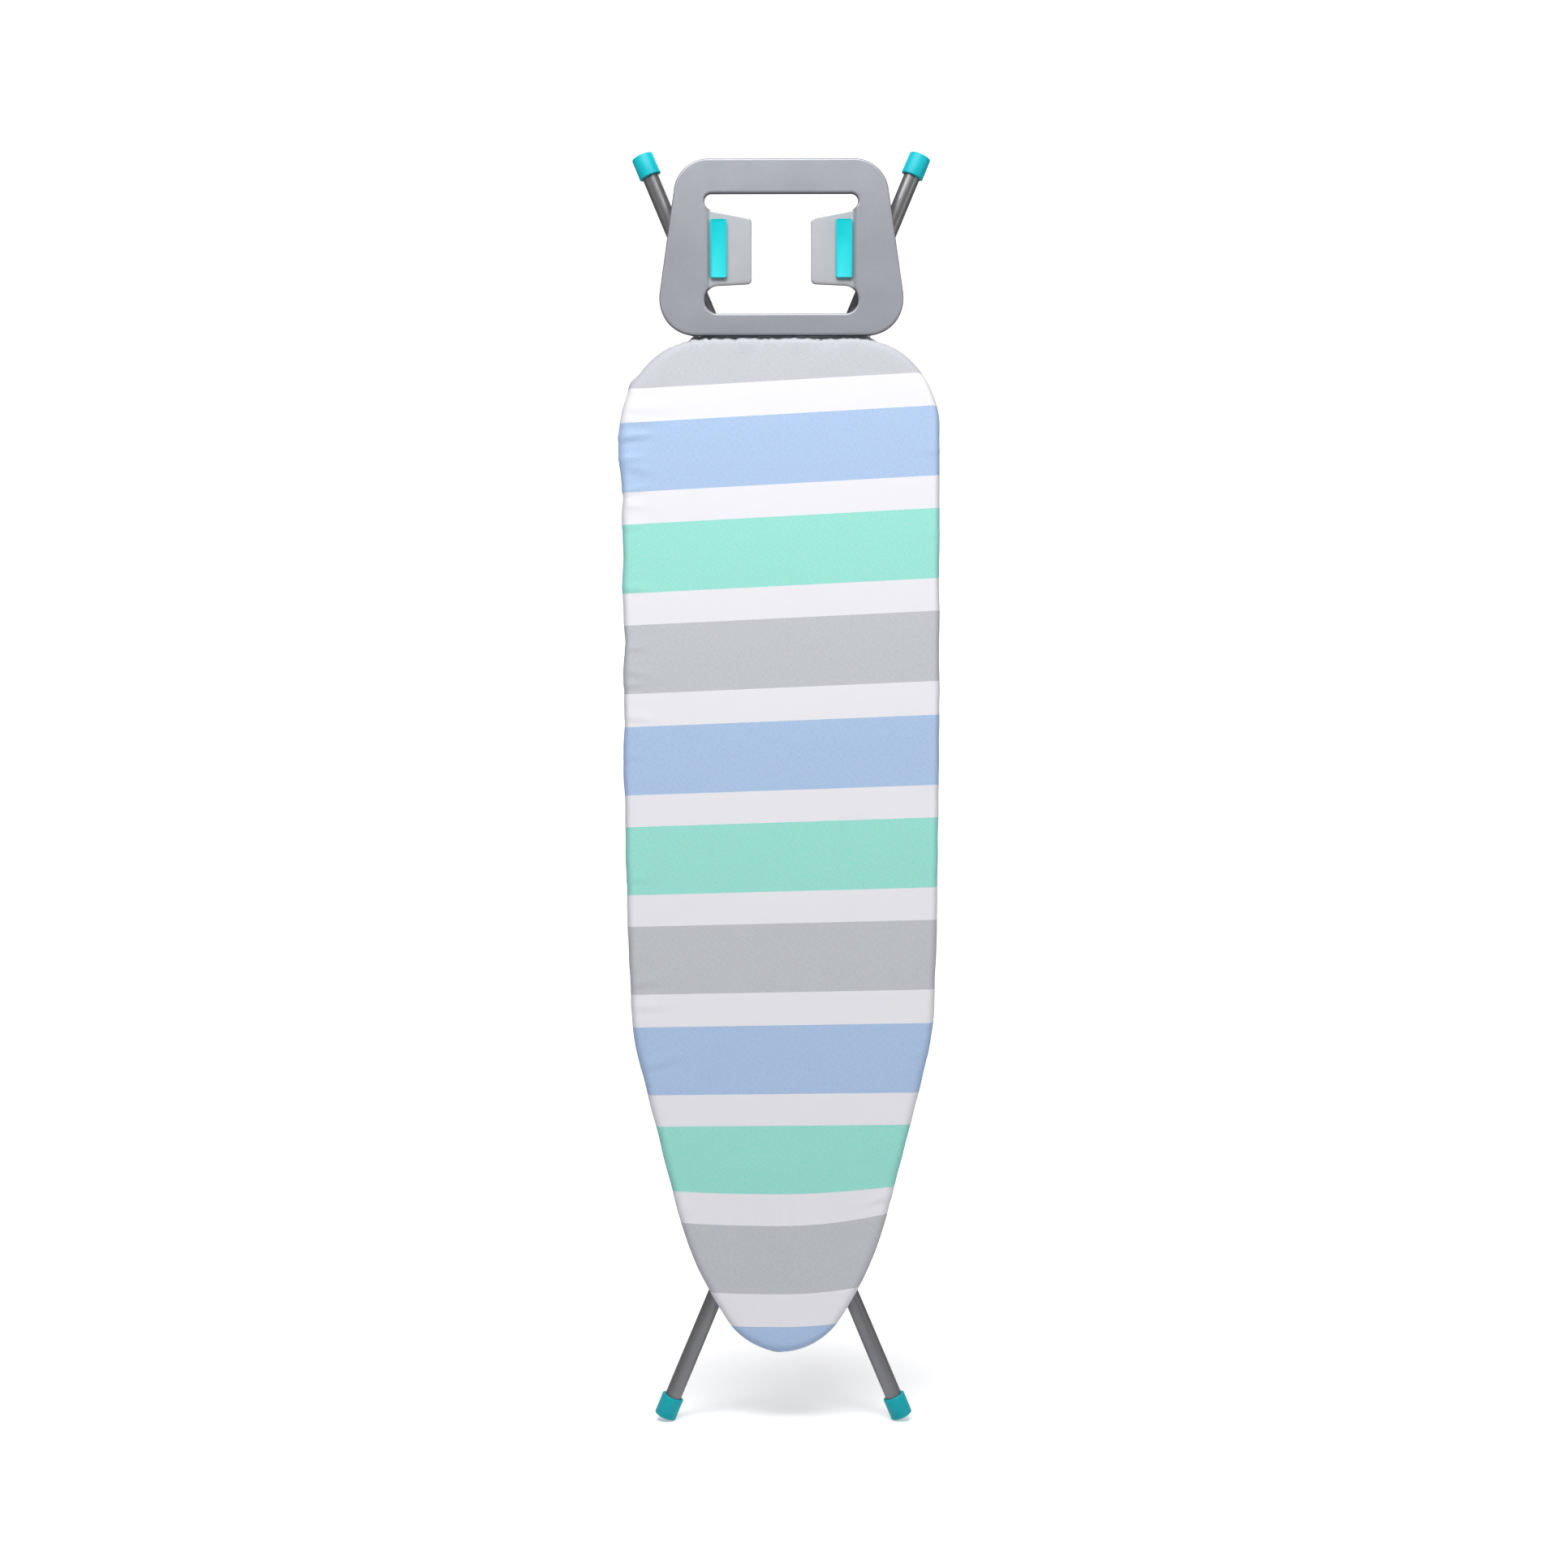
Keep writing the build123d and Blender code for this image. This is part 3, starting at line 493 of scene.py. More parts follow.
# Faint upright creases on the face: (across, middle height, half length, depth, width).
face_creases = [
    (-66, 640, 62, 0.75, 3.2), (-88, 655, 48, 0.55, 2.8), (-58, 742, 40, 0.45, 3.0),
    (-3, 205, 52, 1.00, 2.8), (9, 228, 46, 0.75, 2.6), (46, 660, 70, 0.30, 3.4),
    (50, 905, 60, 0.25, 3.2), (-100, 800, 60, 0.40, 4.0), (18, 190, 36, 0.60, 2.6),
    (-72, 560, 40, 0.45, 3.0), (0, 800, 90, 0.20, 4.0), (-62, 214, 16, 0.90, 2.4),
    (-39, 240, 24, 0.70, 2.6), (-24, 300, 30, 0.40, 3.0), (30, 300, 34, 0.35, 3.0),
    (-45, 330, 40, 0.35, 3.4),
]


# Bulges (+) and pinches (-) of the cloth at the left-hand edge: (out, height, half length).
left_bulges = [(4.0, 1058, 38), (-1.2, 1000, 9), (-1.0, 848, 10), (-0.8, 798, 9)]


def edge_swell(point, outward):
    """How far the cloth bulges out of the edge line, in the board's plane."""
    across, height = point
    left_side = ease(-outward.x, 0.7, 0.97)
    right_side = ease(outward.x, 0.5, 0.98) * ease(height, 520 * mm, 640 * mm)
    bulges = sum(out * mm * hump(height, middle * mm, half * mm)
                 for out, middle, half in left_bulges)
    bulges += left_slack * ripple(height, 46 * mm, 9.0) * hump(height, 900 * mm, 220 * mm)
    swell = loose_cloth * ripple(height, 28 * mm, outward.x)
    swell += bulges * left_side - right_pull * right_side
    if outward.x < -0.35 and outward.y > 0:
        swell += left_shoulder_puff * hump(height, 1121 * mm, 7 * mm)
    if outward.y > 0.9:
        swell -= tail_pucker * abs(ripple(across, tail_pucker_size, 4.0))
    swell += nose_slack * ease(480 * mm - height, 0, 120 * mm)
    if outward.y < -0.5:
        swell += nose_puff * hump(across, -6 * mm, 26 * mm)
        swell += nose_tip_puff * hump(across, -7 * mm, 6 * mm)
    return swell


def tail_tuck(point, outward, depth):
    """How far the cloth bulges up behind the lower edge of the iron rest."""
    under = ease(tuck_half_width - abs(point.x), 0, tuck_fade) * ease(outward.y, 0.6, 0.95)
    behind = ease(depth, rest_high.y - 1 * mm, rest_high.y + 3 * mm)
    behind *= 1 - ease(depth, cover_back - back_round, cover_back)
    return tuck_rise * under * behind


def crease_relief(z, inward, side):
    """Rise of the cloth at a place, from the creases that run in from the edge."""
    rise = 0.0
    for crease_side, height, reach, depth, width, slope in creases:
        if crease_side != side:
            continue
        line = height * mm + slope * inward
        fade = ease(inward, reach * mm, -4 * mm)
        valley = hump(z, line, width * mm)
        ridge = 0.8 * hump(z, line + 1.5 * width * mm, 1.3 * width * mm)
        rise += depth * mm * fade * (ridge - 0.6 * valley)
    return rise


def face_relief(x, z):
    """Rise of the cloth over the face, away from its edges."""
    rise = face_slack * noise.noise(Vector((x / (45 * mm), z / (70 * mm), 1.3)))
    for across, middle, half, depth, width in face_creases:
        wander = across * mm + 2.5 * mm * ripple(z, 60 * mm, across)
        along = hump(z, middle * mm, half * mm)
        rise += depth * mm * along * (hump(x, wander, width * mm)
                                      - 0.5 * hump(x, wander + 2 * width * mm, width * mm))
    return rise


def gather_relief(run, travelled, point, outward):
    """Rise of the hem's gathers, which deepen towards the elastic and round the corners."""
    corner = 1.0 if 0.08 < abs(outward.x) < 0.985 or outward.y < 0 else 0.55
    depth = ease(run, 0.42 * cloth_run, cloth_run) * gather_depth * corner
    if outward.y > 0.2 and point.y > tail_height - 45 * mm:
        depth *= ease(abs(abs(point.x) - rod_x), rod_clearance, 16 * mm)
    wander = travelled + 3 * mm * ripple(travelled, 30 * mm, 2.0)
    wave = 0.5 + 0.5 * sin(2 * pi * wander / gather_pitch)
    return depth * wave * (0.75 + 0.35 * ripple(travelled, 22 * mm, 6.0))


def tail_gather(x, z):
    """Small puckers along the straight tail edge, where the elastic pulls the cloth."""
    near = ease(z, tail_height - 16 * mm, tail_height + 2 * mm)
    near *= ease(tail_gather_half_width - abs(x), 0, 30 * mm)
    return tail_gather_rise * near * ripple(x, tail_gather_size, 8.0)


def cloth_point(point, outward, place, travelled):
    """Place and flat cloth position of one point of the wrapped cloth."""
    out, depth, lean_out, lean_depth, run = place
    weight = ease(run, -1 * mm, front_round) * (1 - ease(run, 0.55 * cloth_run, cloth_run))
    flat = point + outward * (out + edge_swell(point, outward) * weight
                              + tail_tuck(point, outward, depth))
    side = 1 if point.x > 0 else -1
    fade = 1 - 0.7 * ease(run, 0, front_round) - 0.3 * ease(run, 12 * mm, 30 * mm)
    rise = crease_relief(point.y, -run * 0.3, side) * fade
    rise += gather_relief(run, travelled, point, outward)
    rise += tail_gather(point.x, point.y) * (1 - ease(run, 8 * mm, 20 * mm))
    corner = Vector((flat.x + outward.x * lean_out * rise,
                     depth + lean_depth * rise,
                     flat.y + outward.y * lean_out * rise))
    laid = point + outward * (run + section[0][0])
    return corner, laid


def face_point(point, outward, part):
    """Place and flat cloth position of a point on the face, part of the way to the edge."""
    edge_flat = point + outward * section[0][0]
    flat = spine_point(point).lerp(edge_flat, part)
    inward = (edge_flat - flat).length
    side = 1 if point.x > 0 else -1
    rise = face_relief(flat.x, flat.y) * ease(inward, 0, 20 * mm)
    rise += crease_relief(flat.y, inward, side)
    rise += tail_gather(flat.x, flat.y)
    return Vector((flat.x, cover_front - rise, flat.y)), flat


def make_cover(material):
    """The striped cloth: one sheet over the face, round the edge and in behind the rim."""
    rows, laid_rows = [], []
    for point, outward, travelled in edge:
        row, laid_row = [], []
        for ring in range(front_rings):
            corner, laid = face_point(point, outward, ring / front_rings)
            row.append(corner)
            laid_row.append(laid)
        for place in section:
            corner, laid = cloth_point(point, outward, place, travelled)
            row.append(corner)
            laid_row.append(laid)
        rows.append(row)
        laid_rows.append(laid_row)
    cover = lofted("striped_cover", rows)
    lay_out_cloth(cover, [laid for row in laid_rows for laid in row])
    mark_shaded_edge(cover)
    recalculate(cover, cloth_weld)
    face_forward(cover)
    area = sum(face.area for face in cover.data.polygons)
    add_modifier(cover, "SOLIDIFY", thickness=cloth_thickness, offset=-1)
    apply_modifiers(cover)
    smooth(cover, 60)
    finish_piece(cover, material, "board", "cover_cloth", "cover")
    return cover, area


def mark_shaded_edge(cover):
    """Marks where the cloth turns round the board's edge, for the painted shade that darkens the
    cloth there.
    """
    mark = cover.data.attributes.new("edge", "FLOAT", "POINT")
    count = front_rings + len(section)
    for index, vertex in enumerate(cover.data.vertices):
        ring = index % count
        if ring >= front_rings:
            run = section[ring - front_rings][4]
            # the painted shade is stronger on the left-hand side, which faces away from the light
            side = 1.0 if vertex.co.x < 0 else 0.7
            mark.data[index].value = side * ease(run, 0.0, 1.3 * front_round)


def face_forward(sheet):
    """Turns an open sheet right side out: its face looks out of the board's front."""
    front = [face for face in sheet.data.polygons if abs(face.normal.y) > 0.9
             and face.center.y < deck_front]
    if sum(face.normal.y * face.area for face in front) > 0:
        sheet.data.flip_normals()


def lay_out_cloth(cover, laid):
    """The cover's UV map: where each point lies on the flat cloth, in metres.

    The cloth is fitted a little askew, so its stripes climb to the right near the tail."""
    layer = cover.data.uv_layers.new(name="cloth")
    for loop in cover.data.loops:
        place = laid[loop.vertex_index]
        climb = stripe_climb * ease(place.y, 100 * mm, 1150 * mm)
        if place.x > 0:
            bow = right_bow * ease(310 * mm - place.y, 0, 95 * mm)
        else:
            bow = left_bow * ease(340 * mm - place.y, 0, 100 * mm)
        spread = min(abs(place.x) / bow_reach, 1.1)
        layer.data[loop.index].uv = (place.x, place.y - climb * place.x - bow * spread ** 2)


def hem_line():
    """Points of the cloth's inner edge behind the board."""
    return [cloth_point(point, outward, section[-1], travelled)[0]
            for point, outward, travelled in edge]


def make_hem_band(material):
    """The narrow casing at the hem's edge, gathered over its elastic."""
    rows = []
    sides = 8
    line = hem_line()
    for index, (point, outward, travelled) in enumerate(edge):
        centre = line[index] + Vector((0, 0.4 * mm, 0))
        swell = 1 + 0.25 * ripple(travelled, 3.5 * mm, 5.0)
        row = []
        for side in range(sides + 1):
            turn = 2 * pi * side / sides
            out = hem_band_radius * swell * cos(turn)
            row.append(centre + Vector((outward.x * out, hem_band_radius * 0.8 * sin(turn),
                                        outward.y * out)))
        rows.append(row)
    band = lofted("cover_hem_band", rows)
    recalculate(band)
    smooth(band, 60)
    return finish_piece(band, material, "board", "cover_cloth")


def make_hem_stitching(material):
    """The row of stitches that closes the casing: a short thread at every other edge point."""
    place = next(p for p in section if p[4] > cloth_run - stitch_inset)
    points = [cloth_point(point, outward, place, travelled)[0]
              for point, outward, travelled in edge]
    corners, faces = [], []
    for index in range(0, len(points), 2):
        here, after = points[index], points[(index + 1) % len(points)]
        along = (after - here).normalized()
        middle = (here + after) / 2 + Vector((0, 0.15 * mm, 0))
        add_stitch(corners, faces, middle, along)
    threads = mesh_piece("hem_stitching", corners, faces)
    smooth(threads, 60)
    return finish_piece(threads, material, "board", "cover_cloth")


def add_stitch(corners, faces, middle, along):
    """A thread with six sides and pointed ends, laid along the hem."""
    across = along.cross(Vector((0, 1, 0))).normalized()
    first = len(corners)
    radius = stitch_radius
    for reach in (-0.3, 0.3):
        for side in range(6):
            turn = pi / 3 * side
            corners.append(middle + along * reach * stitch_length
                           + across * radius * cos(turn) + Vector((0, radius * sin(turn), 0)))
    corners.append(middle - along * stitch_length / 2 - Vector((0, radius, 0)))
    corners.append(middle + along * stitch_length / 2 - Vector((0, radius, 0)))
    for side in range(6):
        after = (side + 1) % 6
        faces.append((first + side, first + after, first + 6 + after, first + 6 + side))
        faces.append((first + 12, first + after, first + side))
        faces.append((first + 13, first + 6 + side, first + 6 + after))


# ================================================================ felt under the cover
def make_felt(material):
    """The needled felt: flat, with soft rounded edges and a slight unevenness."""
    front = felt_low.y + felt_inset
    back = felt_high.y
    places = [(felt_grow - felt_edge, front)]
    turns = [pi / 2 * step / felt_round_steps for step in range(1, felt_round_steps + 1)]
    for turn in turns:
        places.append((felt_grow - felt_edge + felt_edge * sin(turn),
                       front + felt_edge * (1 - cos(turn))))
    places.append((felt_grow, back - felt_edge))
    for turn in turns:
        places.append((felt_grow - felt_edge + felt_edge * cos(turn),
                       back - felt_edge + felt_edge * sin(turn)))
    rows = []
    for point, outward, travelled in edge:
        row = []
        rim = point + outward * places[0][0]
        inner = [spine_point(point).lerp(rim, ring / felt_rings) for ring in range(felt_rings)]
        row += [Vector((flat.x, front, flat.y)) for flat in inner]
        for out, depth in places:
            flat = point + outward * (out + felt_unevenness * ripple(travelled, 9 * mm, 7.0))
            row.append(Vector((flat.x, depth, flat.y)))
        row += [Vector((flat.x, back, flat.y)) for flat in reversed(inner)]
        rows.append(row)
    felt = lofted("underlay_felt", rows)
    recalculate(felt)
    smooth(felt, 60)
    finish_piece(felt, material, "board", "felt", "underlay_pad")
    return felt


# ================================================================ expanded mesh
def half_width_at(height):
    """Half the board's width at a height, from the edge line."""
    rows = edge[:edge_steps + 1]
    for (low, _, _), (high, _, _) in zip(rows, rows[1:]):
        if low.y <= height <= high.y and high.y > low.y:
            return low.x + (high.x - low.x) * (height - low.y) / (high.y - low.y)
    return 0.0


def inside_board(x, z, margin):
    if not nose_height + margin < z < tail_height - margin:
        return False
    return abs(x) < half_width_at(z) - margin


def make_expanded_mesh(material):
    """Slit and stretched steel sheet: a grid turned into diamonds, each of them opened."""
    columns = 2 * ceil(board_half_width / mesh_pitch_x) + 1
    rows = 2 * ceil((tail_height - nose_height) / 2 / mesh_pitch_z) + 2
    middle = (tail_height + nose_height) / 2
    deselect()
    bpy.ops.mesh.primitive_grid_add(x_subdivisions=columns, y_subdivisions=rows, size=1,
                                    location=(0, deck_front + mesh_thickness, middle),
                                    rotation=(pi / 2, 0, 0))
    bpy.context.object.scale = (columns * mesh_pitch_x, rows * mesh_pitch_z, 1)
    sheet = name_piece("expanded_mesh")
    edit(sheet)
    bpy.ops.mesh.select_all(action="SELECT")
    bpy.ops.mesh.poke()
    close_edit()
    edit(sheet, "EDGE")
    pick(sheet, "EDGE", on_grid_line)
    bpy.ops.mesh.dissolve_edges(use_verts=False)
    close_edit()
    edit(sheet)
    pick(sheet, "FACE", outside_rim)
    bpy.ops.mesh.delete(type="FACE")
    close_edit()
    for vertex in sheet.data.vertices:
        vertex.co = pulled_inside(vertex.co.x, vertex.co.z)
    edit(sheet)
    bpy.ops.mesh.select_all(action="SELECT")
    bpy.ops.mesh.inset(thickness=mesh_strand, use_individual=True)
    bpy.ops.mesh.delete(type="FACE")
    close_edit()
    twist_strands(sheet)
    add_modifier(sheet, "SOLIDIFY", thickness=mesh_thickness, offset=0)
    apply_modifiers(sheet)
    smooth(sheet, 30)
    finish_piece(sheet, material, "board", "mesh_paint", "deck_mesh")
    return sheet


def on_grid_line(spot):
    """True at the middle of an upright or level edge, which becomes a diamond's middle."""
    half_pitches = spot.x / (mesh_pitch_x / 2)
    return abs(half_pitches - round(half_pitches)) < 0.1


def outside_rim(spot):
    """True for a diamond, given by its middle, with fewer than two corners inside the rim."""
    corners = [(spot.x - mesh_pitch_x / 2, spot.z), (spot.x + mesh_pitch_x / 2, spot.z),
               (spot.x, spot.z - mesh_pitch_z / 2), (spot.x, spot.z + mesh_pitch_z / 2)]
    return sum(inside_board(x, z, mesh_tuck) for x, z in corners) < 2


def pulled_inside(x, z):
    """A lattice point, moved towards the spine until it lies inside the rim."""
    spine = Vector((0, min(max(z, spine_low), spine_high)))
    spot = Vector((x, z))
    if not inside_board(x, z, mesh_tuck):
        low, high = 0.0, 1.0
        for _ in range(14):
            middle = (low + high) / 2
            try_spot = spine.lerp(spot, middle)
            if inside_board(try_spot.x, try_spot.y, mesh_tuck):
                low = middle
            else:
                high = middle
        spot = spine.lerp(spot, low)
    return (spot.x, deck_front + mesh_thickness, spot.y)


def twist_strands(sheet):
    """Tips the strands, as slitting does: the lower edge of each leans to the front."""
    mesh = sheet.data
    for vertex in mesh.vertices:
        row = (vertex.co.z - nose_height) / (mesh_pitch_z / 2)
        lean = (row - floor(row)) - 0.5
        vertex.co.y += strand_twist * lean


# ================================================================ iron rest
def narrow(half_width, middle_x, depth, height):
    """Scales the picked vertices across the board to a new half width."""
    bpy.ops.transform.resize(value=(half_width / middle_x, 1, 1),
                             center_override=(0, depth, height))


def round_corner(piece, test, radius, opening):
    """Rounds the picked corners of a flat sheet; the opening is the angle between its sides."""
    edit(piece, "VERT")
    pick(piece, "VERT", test)
    bpy.ops.mesh.bevel(offset=radius / tan(opening / 2), affect="VERTICES",
                       segments=corner_steps)
    close_edit()


def upright_plane(name, half_width, depth, low, high):
    """A flat sheet that faces the front, at its size and place."""
    deselect()
    bpy.ops.mesh.primitive_plane_add(size=1, location=(0, depth, (low + high) / 2),
                                     rotation=(pi / 2, 0, 0))
    bpy.context.object.scale = (2 * half_width, high - low, 1)
    return name_piece(name)


def deepen(piece, depth):
    """Extrudes a flat sheet backwards into a closed block."""
    edit(piece)
    bpy.ops.mesh.select_all(action="SELECT")
    bpy.ops.mesh.extrude_region_move(TRANSFORM_OT_translate={"value": (0, depth, 0)})
    close_edit()
    recalculate(piece)


def make_rest_blank():
    """The outside of the iron rest: a tapered block with four rounded corners."""
    blank = upright_plane("iron_rest_plate", rest_half_bottom, rest_low.y, rest_low.z, rest_high.z)
    middle = (rest_low.z + rest_high.z) / 2
    edit(blank, "VERT")
    pick(blank, "VERT", lambda spot: spot.z > middle)
    narrow(rest_half_top, rest_half_bottom, rest_low.y, rest_high.z)
    close_edit()
    lean = atan2(rest_half_bottom - rest_half_top, rest_high.z - rest_low.z)
    round_corner(blank, lambda spot: spot.z < rest_low.z + near_enough, rest_bottom_corner,
                 pi / 2 - lean)
    round_corner(blank, lambda spot: spot.z > rest_high.z - near_enough, rest_top_corner,
                 pi / 2 + lean)
    deepen(blank, rest_high.y - rest_low.y)
    return blank


def make_window_cutter():
    """What is cut from the rest: the window, less the two tongues that reach into it."""
    deselect()
    middle = (window_bottom + window_top) / 2
    front = rest_low.y - window_cut_margin
    bpy.ops.mesh.primitive_grid_add(x_subdivisions=3, y_subdivisions=3, size=1,
                                    location=(0, front, middle), rotation=(pi / 2, 0, 0))
    bpy.context.object.scale = (2 * window_half_width, window_top - window_bottom, 1)
    cutter = name_piece("window_cutter")
    third_x = window_half_width / 3
    third_z = (window_top - window_bottom) / 6
    edit(cutter)
    pick(cutter, "FACE", lambda spot: abs(spot.x) > third_x and abs(spot.z - middle) < third_z)
    bpy.ops.mesh.delete(type="FACE")
    close_edit()
    edit(cutter, "VERT")
    pick(cutter, "VERT", lambda spot: abs(spot.x) < 2 * third_x)
    narrow(tongue_tip, third_x, front, middle)
    close_edit()
    columns = ((lambda x: x > window_half_width - near_enough, tongue_root_bottom,
                tongue_root_top),
               (lambda x: x < tongue_tip + near_enough, tongue_tip_bottom, tongue_tip_top))
    for column, low, high in columns:
        for below, target in ((True, low), (False, high)):
            edit(cutter, "VERT")
            start = middle - third_z if below else middle + third_z
            pick(cutter, "VERT", lambda spot: column(abs(spot.x))
                 and abs(spot.z - start) < near_enough)
            bpy.ops.transform.translate(value=(0, 0, target - start))
            close_edit()
    edit(cutter)
    bpy.ops.mesh.select_all(action="SELECT")
    bpy.ops.mesh.dissolve_faces()
    close_edit()
    square = pi / 2
    side = window_half_width - near_enough
    round_corner(cutter, lambda spot: abs(spot.x) > side and spot.z > middle,
                 top_slot_corner, square)
    round_corner(cutter, lambda spot: abs(spot.x) > side and spot.z < middle,
                 bottom_slot_corner, square)
    round_corner(cutter, lambda spot: abs(spot.x) < tongue_tip + near_enough
                 and tongue_tip_bottom - near_enough < spot.z < tongue_tip_top + near_enough,
                 tongue_corner, square)
    deepen(cutter, rest_high.y - rest_low.y + 2 * window_cut_margin)
    return cutter


def cut_away(piece, cutter):
    """Cuts one closed piece out of another and removes the cutter."""
    add_modifier(piece, "BOOLEAN", operation="DIFFERENCE", solver="EXACT", object=cutter)
    apply_modifiers(piece)
    bpy.data.objects.remove(cutter)


def make_iron_rest(material):
    """Pressed steel rest: a flanged plate whose two tongues are folded back from its face."""
    plate = make_rest_blank()
    cut_away(plate, make_window_cutter())
    edit(plate)
    pick(plate, "FACE", lambda spot: spot.y > rest_high.y - 0.5 * mm)
    bpy.ops.mesh.delete(type="FACE")
    close_edit()
    add_modifier(plate, "BEVEL", width=rest_press_radius, segments=4, limit_method="ANGLE",
                 angle_limit=radians(50))
    apply_modifiers(plate)
    add_fold_lines(plate)
    fold_tongues(plate)
    add_modifier(plate, "SOLIDIFY", thickness=rest_sheet, offset=-1)
    add_modifier(plate, "TRIANGULATE", min_vertices=5)
    apply_modifiers(plate)
    smooth(plate, 60)
    even_shading(plate)
    return finish_piece(plate, material, "board", "rest_paint", "iron_rest")


def add_fold_lines(plate):
    """Cuts the lines across the tongues' roots along which they are folded."""
    for side in (-1, 1):
        for step in range(fold_steps + 1):
            across = side * (fold_start - fold_width * step / fold_steps)
            edit(plate)
            bpy.ops.mesh.select_all(action="SELECT")
            bpy.ops.mesh.bisect(plane_co=(across, 0, 0), plane_no=(1, 0, 0))
            close_edit()


def fold_tongues(plate):
    """Moves the tongues back behind the rest's face, and marks them for a painted highlight."""
    mark = plate.data.attributes.new("tongue", "FLOAT", "POINT")
    depth = rest_high.y - rest_low.y
    for vertex in plate.data.vertices:
        spot = vertex.co
        if not tongue_root_bottom - bottom_slot_corner < spot.z < tongue_root_top + 7 * mm:
            continue
        folded = ease(fold_start - abs(spot.x), 0, fold_width)
        mark.data[vertex.index].value = folded
        spot.y += tongue_step * folded * (rest_high.y - spot.y) / depth


def make_rest_pad(material, name, node_name):
    """Heat-proof silicone pad with a raised border, pushed through the tongue on two studs."""
    low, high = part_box(node_name)
    seat = rest_low.y + tongue_step
    middle_x = (low.x + high.x) / 2
    middle_z = (low.z + high.z) / 2
    deselect()
    bpy.ops.mesh.primitive_cube_add(size=1, location=(middle_x, (low.y + seat) / 2, middle_z))
    bpy.context.object.scale = (high.x - low.x, seat - low.y, high.z - low.z)
    pad = name_piece(name)
    edit(pad, "EDGE")
    pick(pad, "EDGE", lambda spot: abs(spot.x - middle_x) > (high.x - low.x) * 0.45
         and abs(spot.z - middle_z) > (high.z - low.z) * 0.45)
    bpy.ops.mesh.bevel(offset=pad_corner, segments=5)
    close_edit()
    edit(pad)
    pick(pad, "FACE", lambda spot: spot.y < low.y + 0.1 * mm)
    bpy.ops.mesh.inset(thickness=pad_border)
    bpy.ops.transform.translate(value=(0, pad_recess, 0))
    close_edit()
    add_modifier(pad, "BEVEL", width=pad_edge_round, segments=3, limit_method="ANGLE",
                 angle_limit=radians(40))
    apply_modifiers(pad)
    for up in (-1, 1):
        add_stud(pad, Vector((middle_x, seat, middle_z + up * pad_stud_spacing / 2)),
                 high.y - seat)
    smooth(pad, 40)
    return finish_piece(pad, material, "board", "silicone", node_name)


def add_stud(pad, place, length):
    """Joins a stud with a round head to the back of a pad."""
    shank = (stud_radius, 0.0, length)
    head = (stud_head_radius, length - stud_head_height, stud_head_height)
    for radius, start, reach in (shank, head):
        deselect()
        bpy.ops.mesh.primitive_cylinder_add(
            vertices=24, radius=radius, depth=reach, rotation=(pi / 2, 0, 0),
            location=place + Vector((0, start + reach / 2, 0)))
        stud = name_piece("stud")
        make_active(pad)
        stud.select_set(True)
        bpy.ops.object.join()


# ================================================================ turned pieces
def turned(name, profile, steps=40, closed=True):
    """A round piece on the origin: a circle extruded through (height, radius) rings."""
    deselect()
    height, radius = profile[0]
    bpy.ops.mesh.primitive_circle_add(vertices=steps, radius=radius, location=(0, 0, height))
    piece = name_piece(name)
    edit(piece, "VERT")
    bpy.ops.mesh.select_all(action="SELECT")
    for next_height, next_radius in profile[1:]:
        bpy.ops.mesh.extrude_region_move(
            TRANSFORM_OT_translate={"value": (0, 0, next_height - height)})
        scale = next_radius / radius
        bpy.ops.transform.resize(value=(scale, scale, 1), center_override=(0, 0, next_height))
        height, radius = next_height, next_radius
    close_edit()
    edit(piece, "VERT")
    if closed:
        bpy.ops.mesh.select_non_manifold()
    else:
        pick(piece, "VERT", lambda spot: spot.xy.length < profile[0][1] * 1.01)
    bpy.ops.mesh.edge_face_add()
    close_edit()
    recalculate(piece)
    return piece


def foot_profile():
    """Section of a moulded foot, from the middle of its closed end round to its bore."""
    end = foot_length
    lip = foot_lip
    floor_height = end - foot_cup_depth
    return [(0.0, 0.5 * mm), (0.0, foot_radius - 1.8 * mm), (0.5 * mm, foot_radius - 0.7 * mm),
            (1.6 * mm, foot_radius), (end - lip - 0.6 * mm, foot_radius),
            (end - lip, foot_radius + 0.05 * mm), (end - 0.8 * mm, foot_radius + 0.1 * mm),
            (end - 0.2 * mm, foot_radius - 0.3 * mm), (end, foot_radius - 0.9 * mm),
            (end, foot_bore + 0.5 * mm), (end - 0.4 * mm, foot_bore + 0.1 * mm),
            (floor_height, foot_bore + 0.1 * mm), (floor_height, 0.5 * mm)]


def make_feet(material):
    """The four moulded feet, from one turned cup."""
    model = turned("foot_model", foot_profile(), 48)
    smooth(model, 35)
    for leg, up in (("front_leg", -1), ("rear_leg", 1)):
        for name, side in (("left", -1), ("right", 1)):
            node_name = f"{leg}_{name}_foot"
            low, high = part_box(node_name)
            foot = model.copy()
            foot.data = model.data.copy()
            foot.name = foot.data.name = f"{leg}_{name}_cup"
            bpy.context.collection.objects.link(foot)
            outward = Vector((side * sin(leg_splay), 0, up * cos(leg_splay)))
            turn = (-outward).to_track_quat("Z", "Y").to_matrix().to_4x4()
            start = (low + high) / 2 + outward * foot_length / 2
            foot.data.transform(Matrix.Translation(start) @ turn)
            finish_piece(foot, material, leg, "foot_plastic", node_name)
    bpy.data.objects.remove(model)


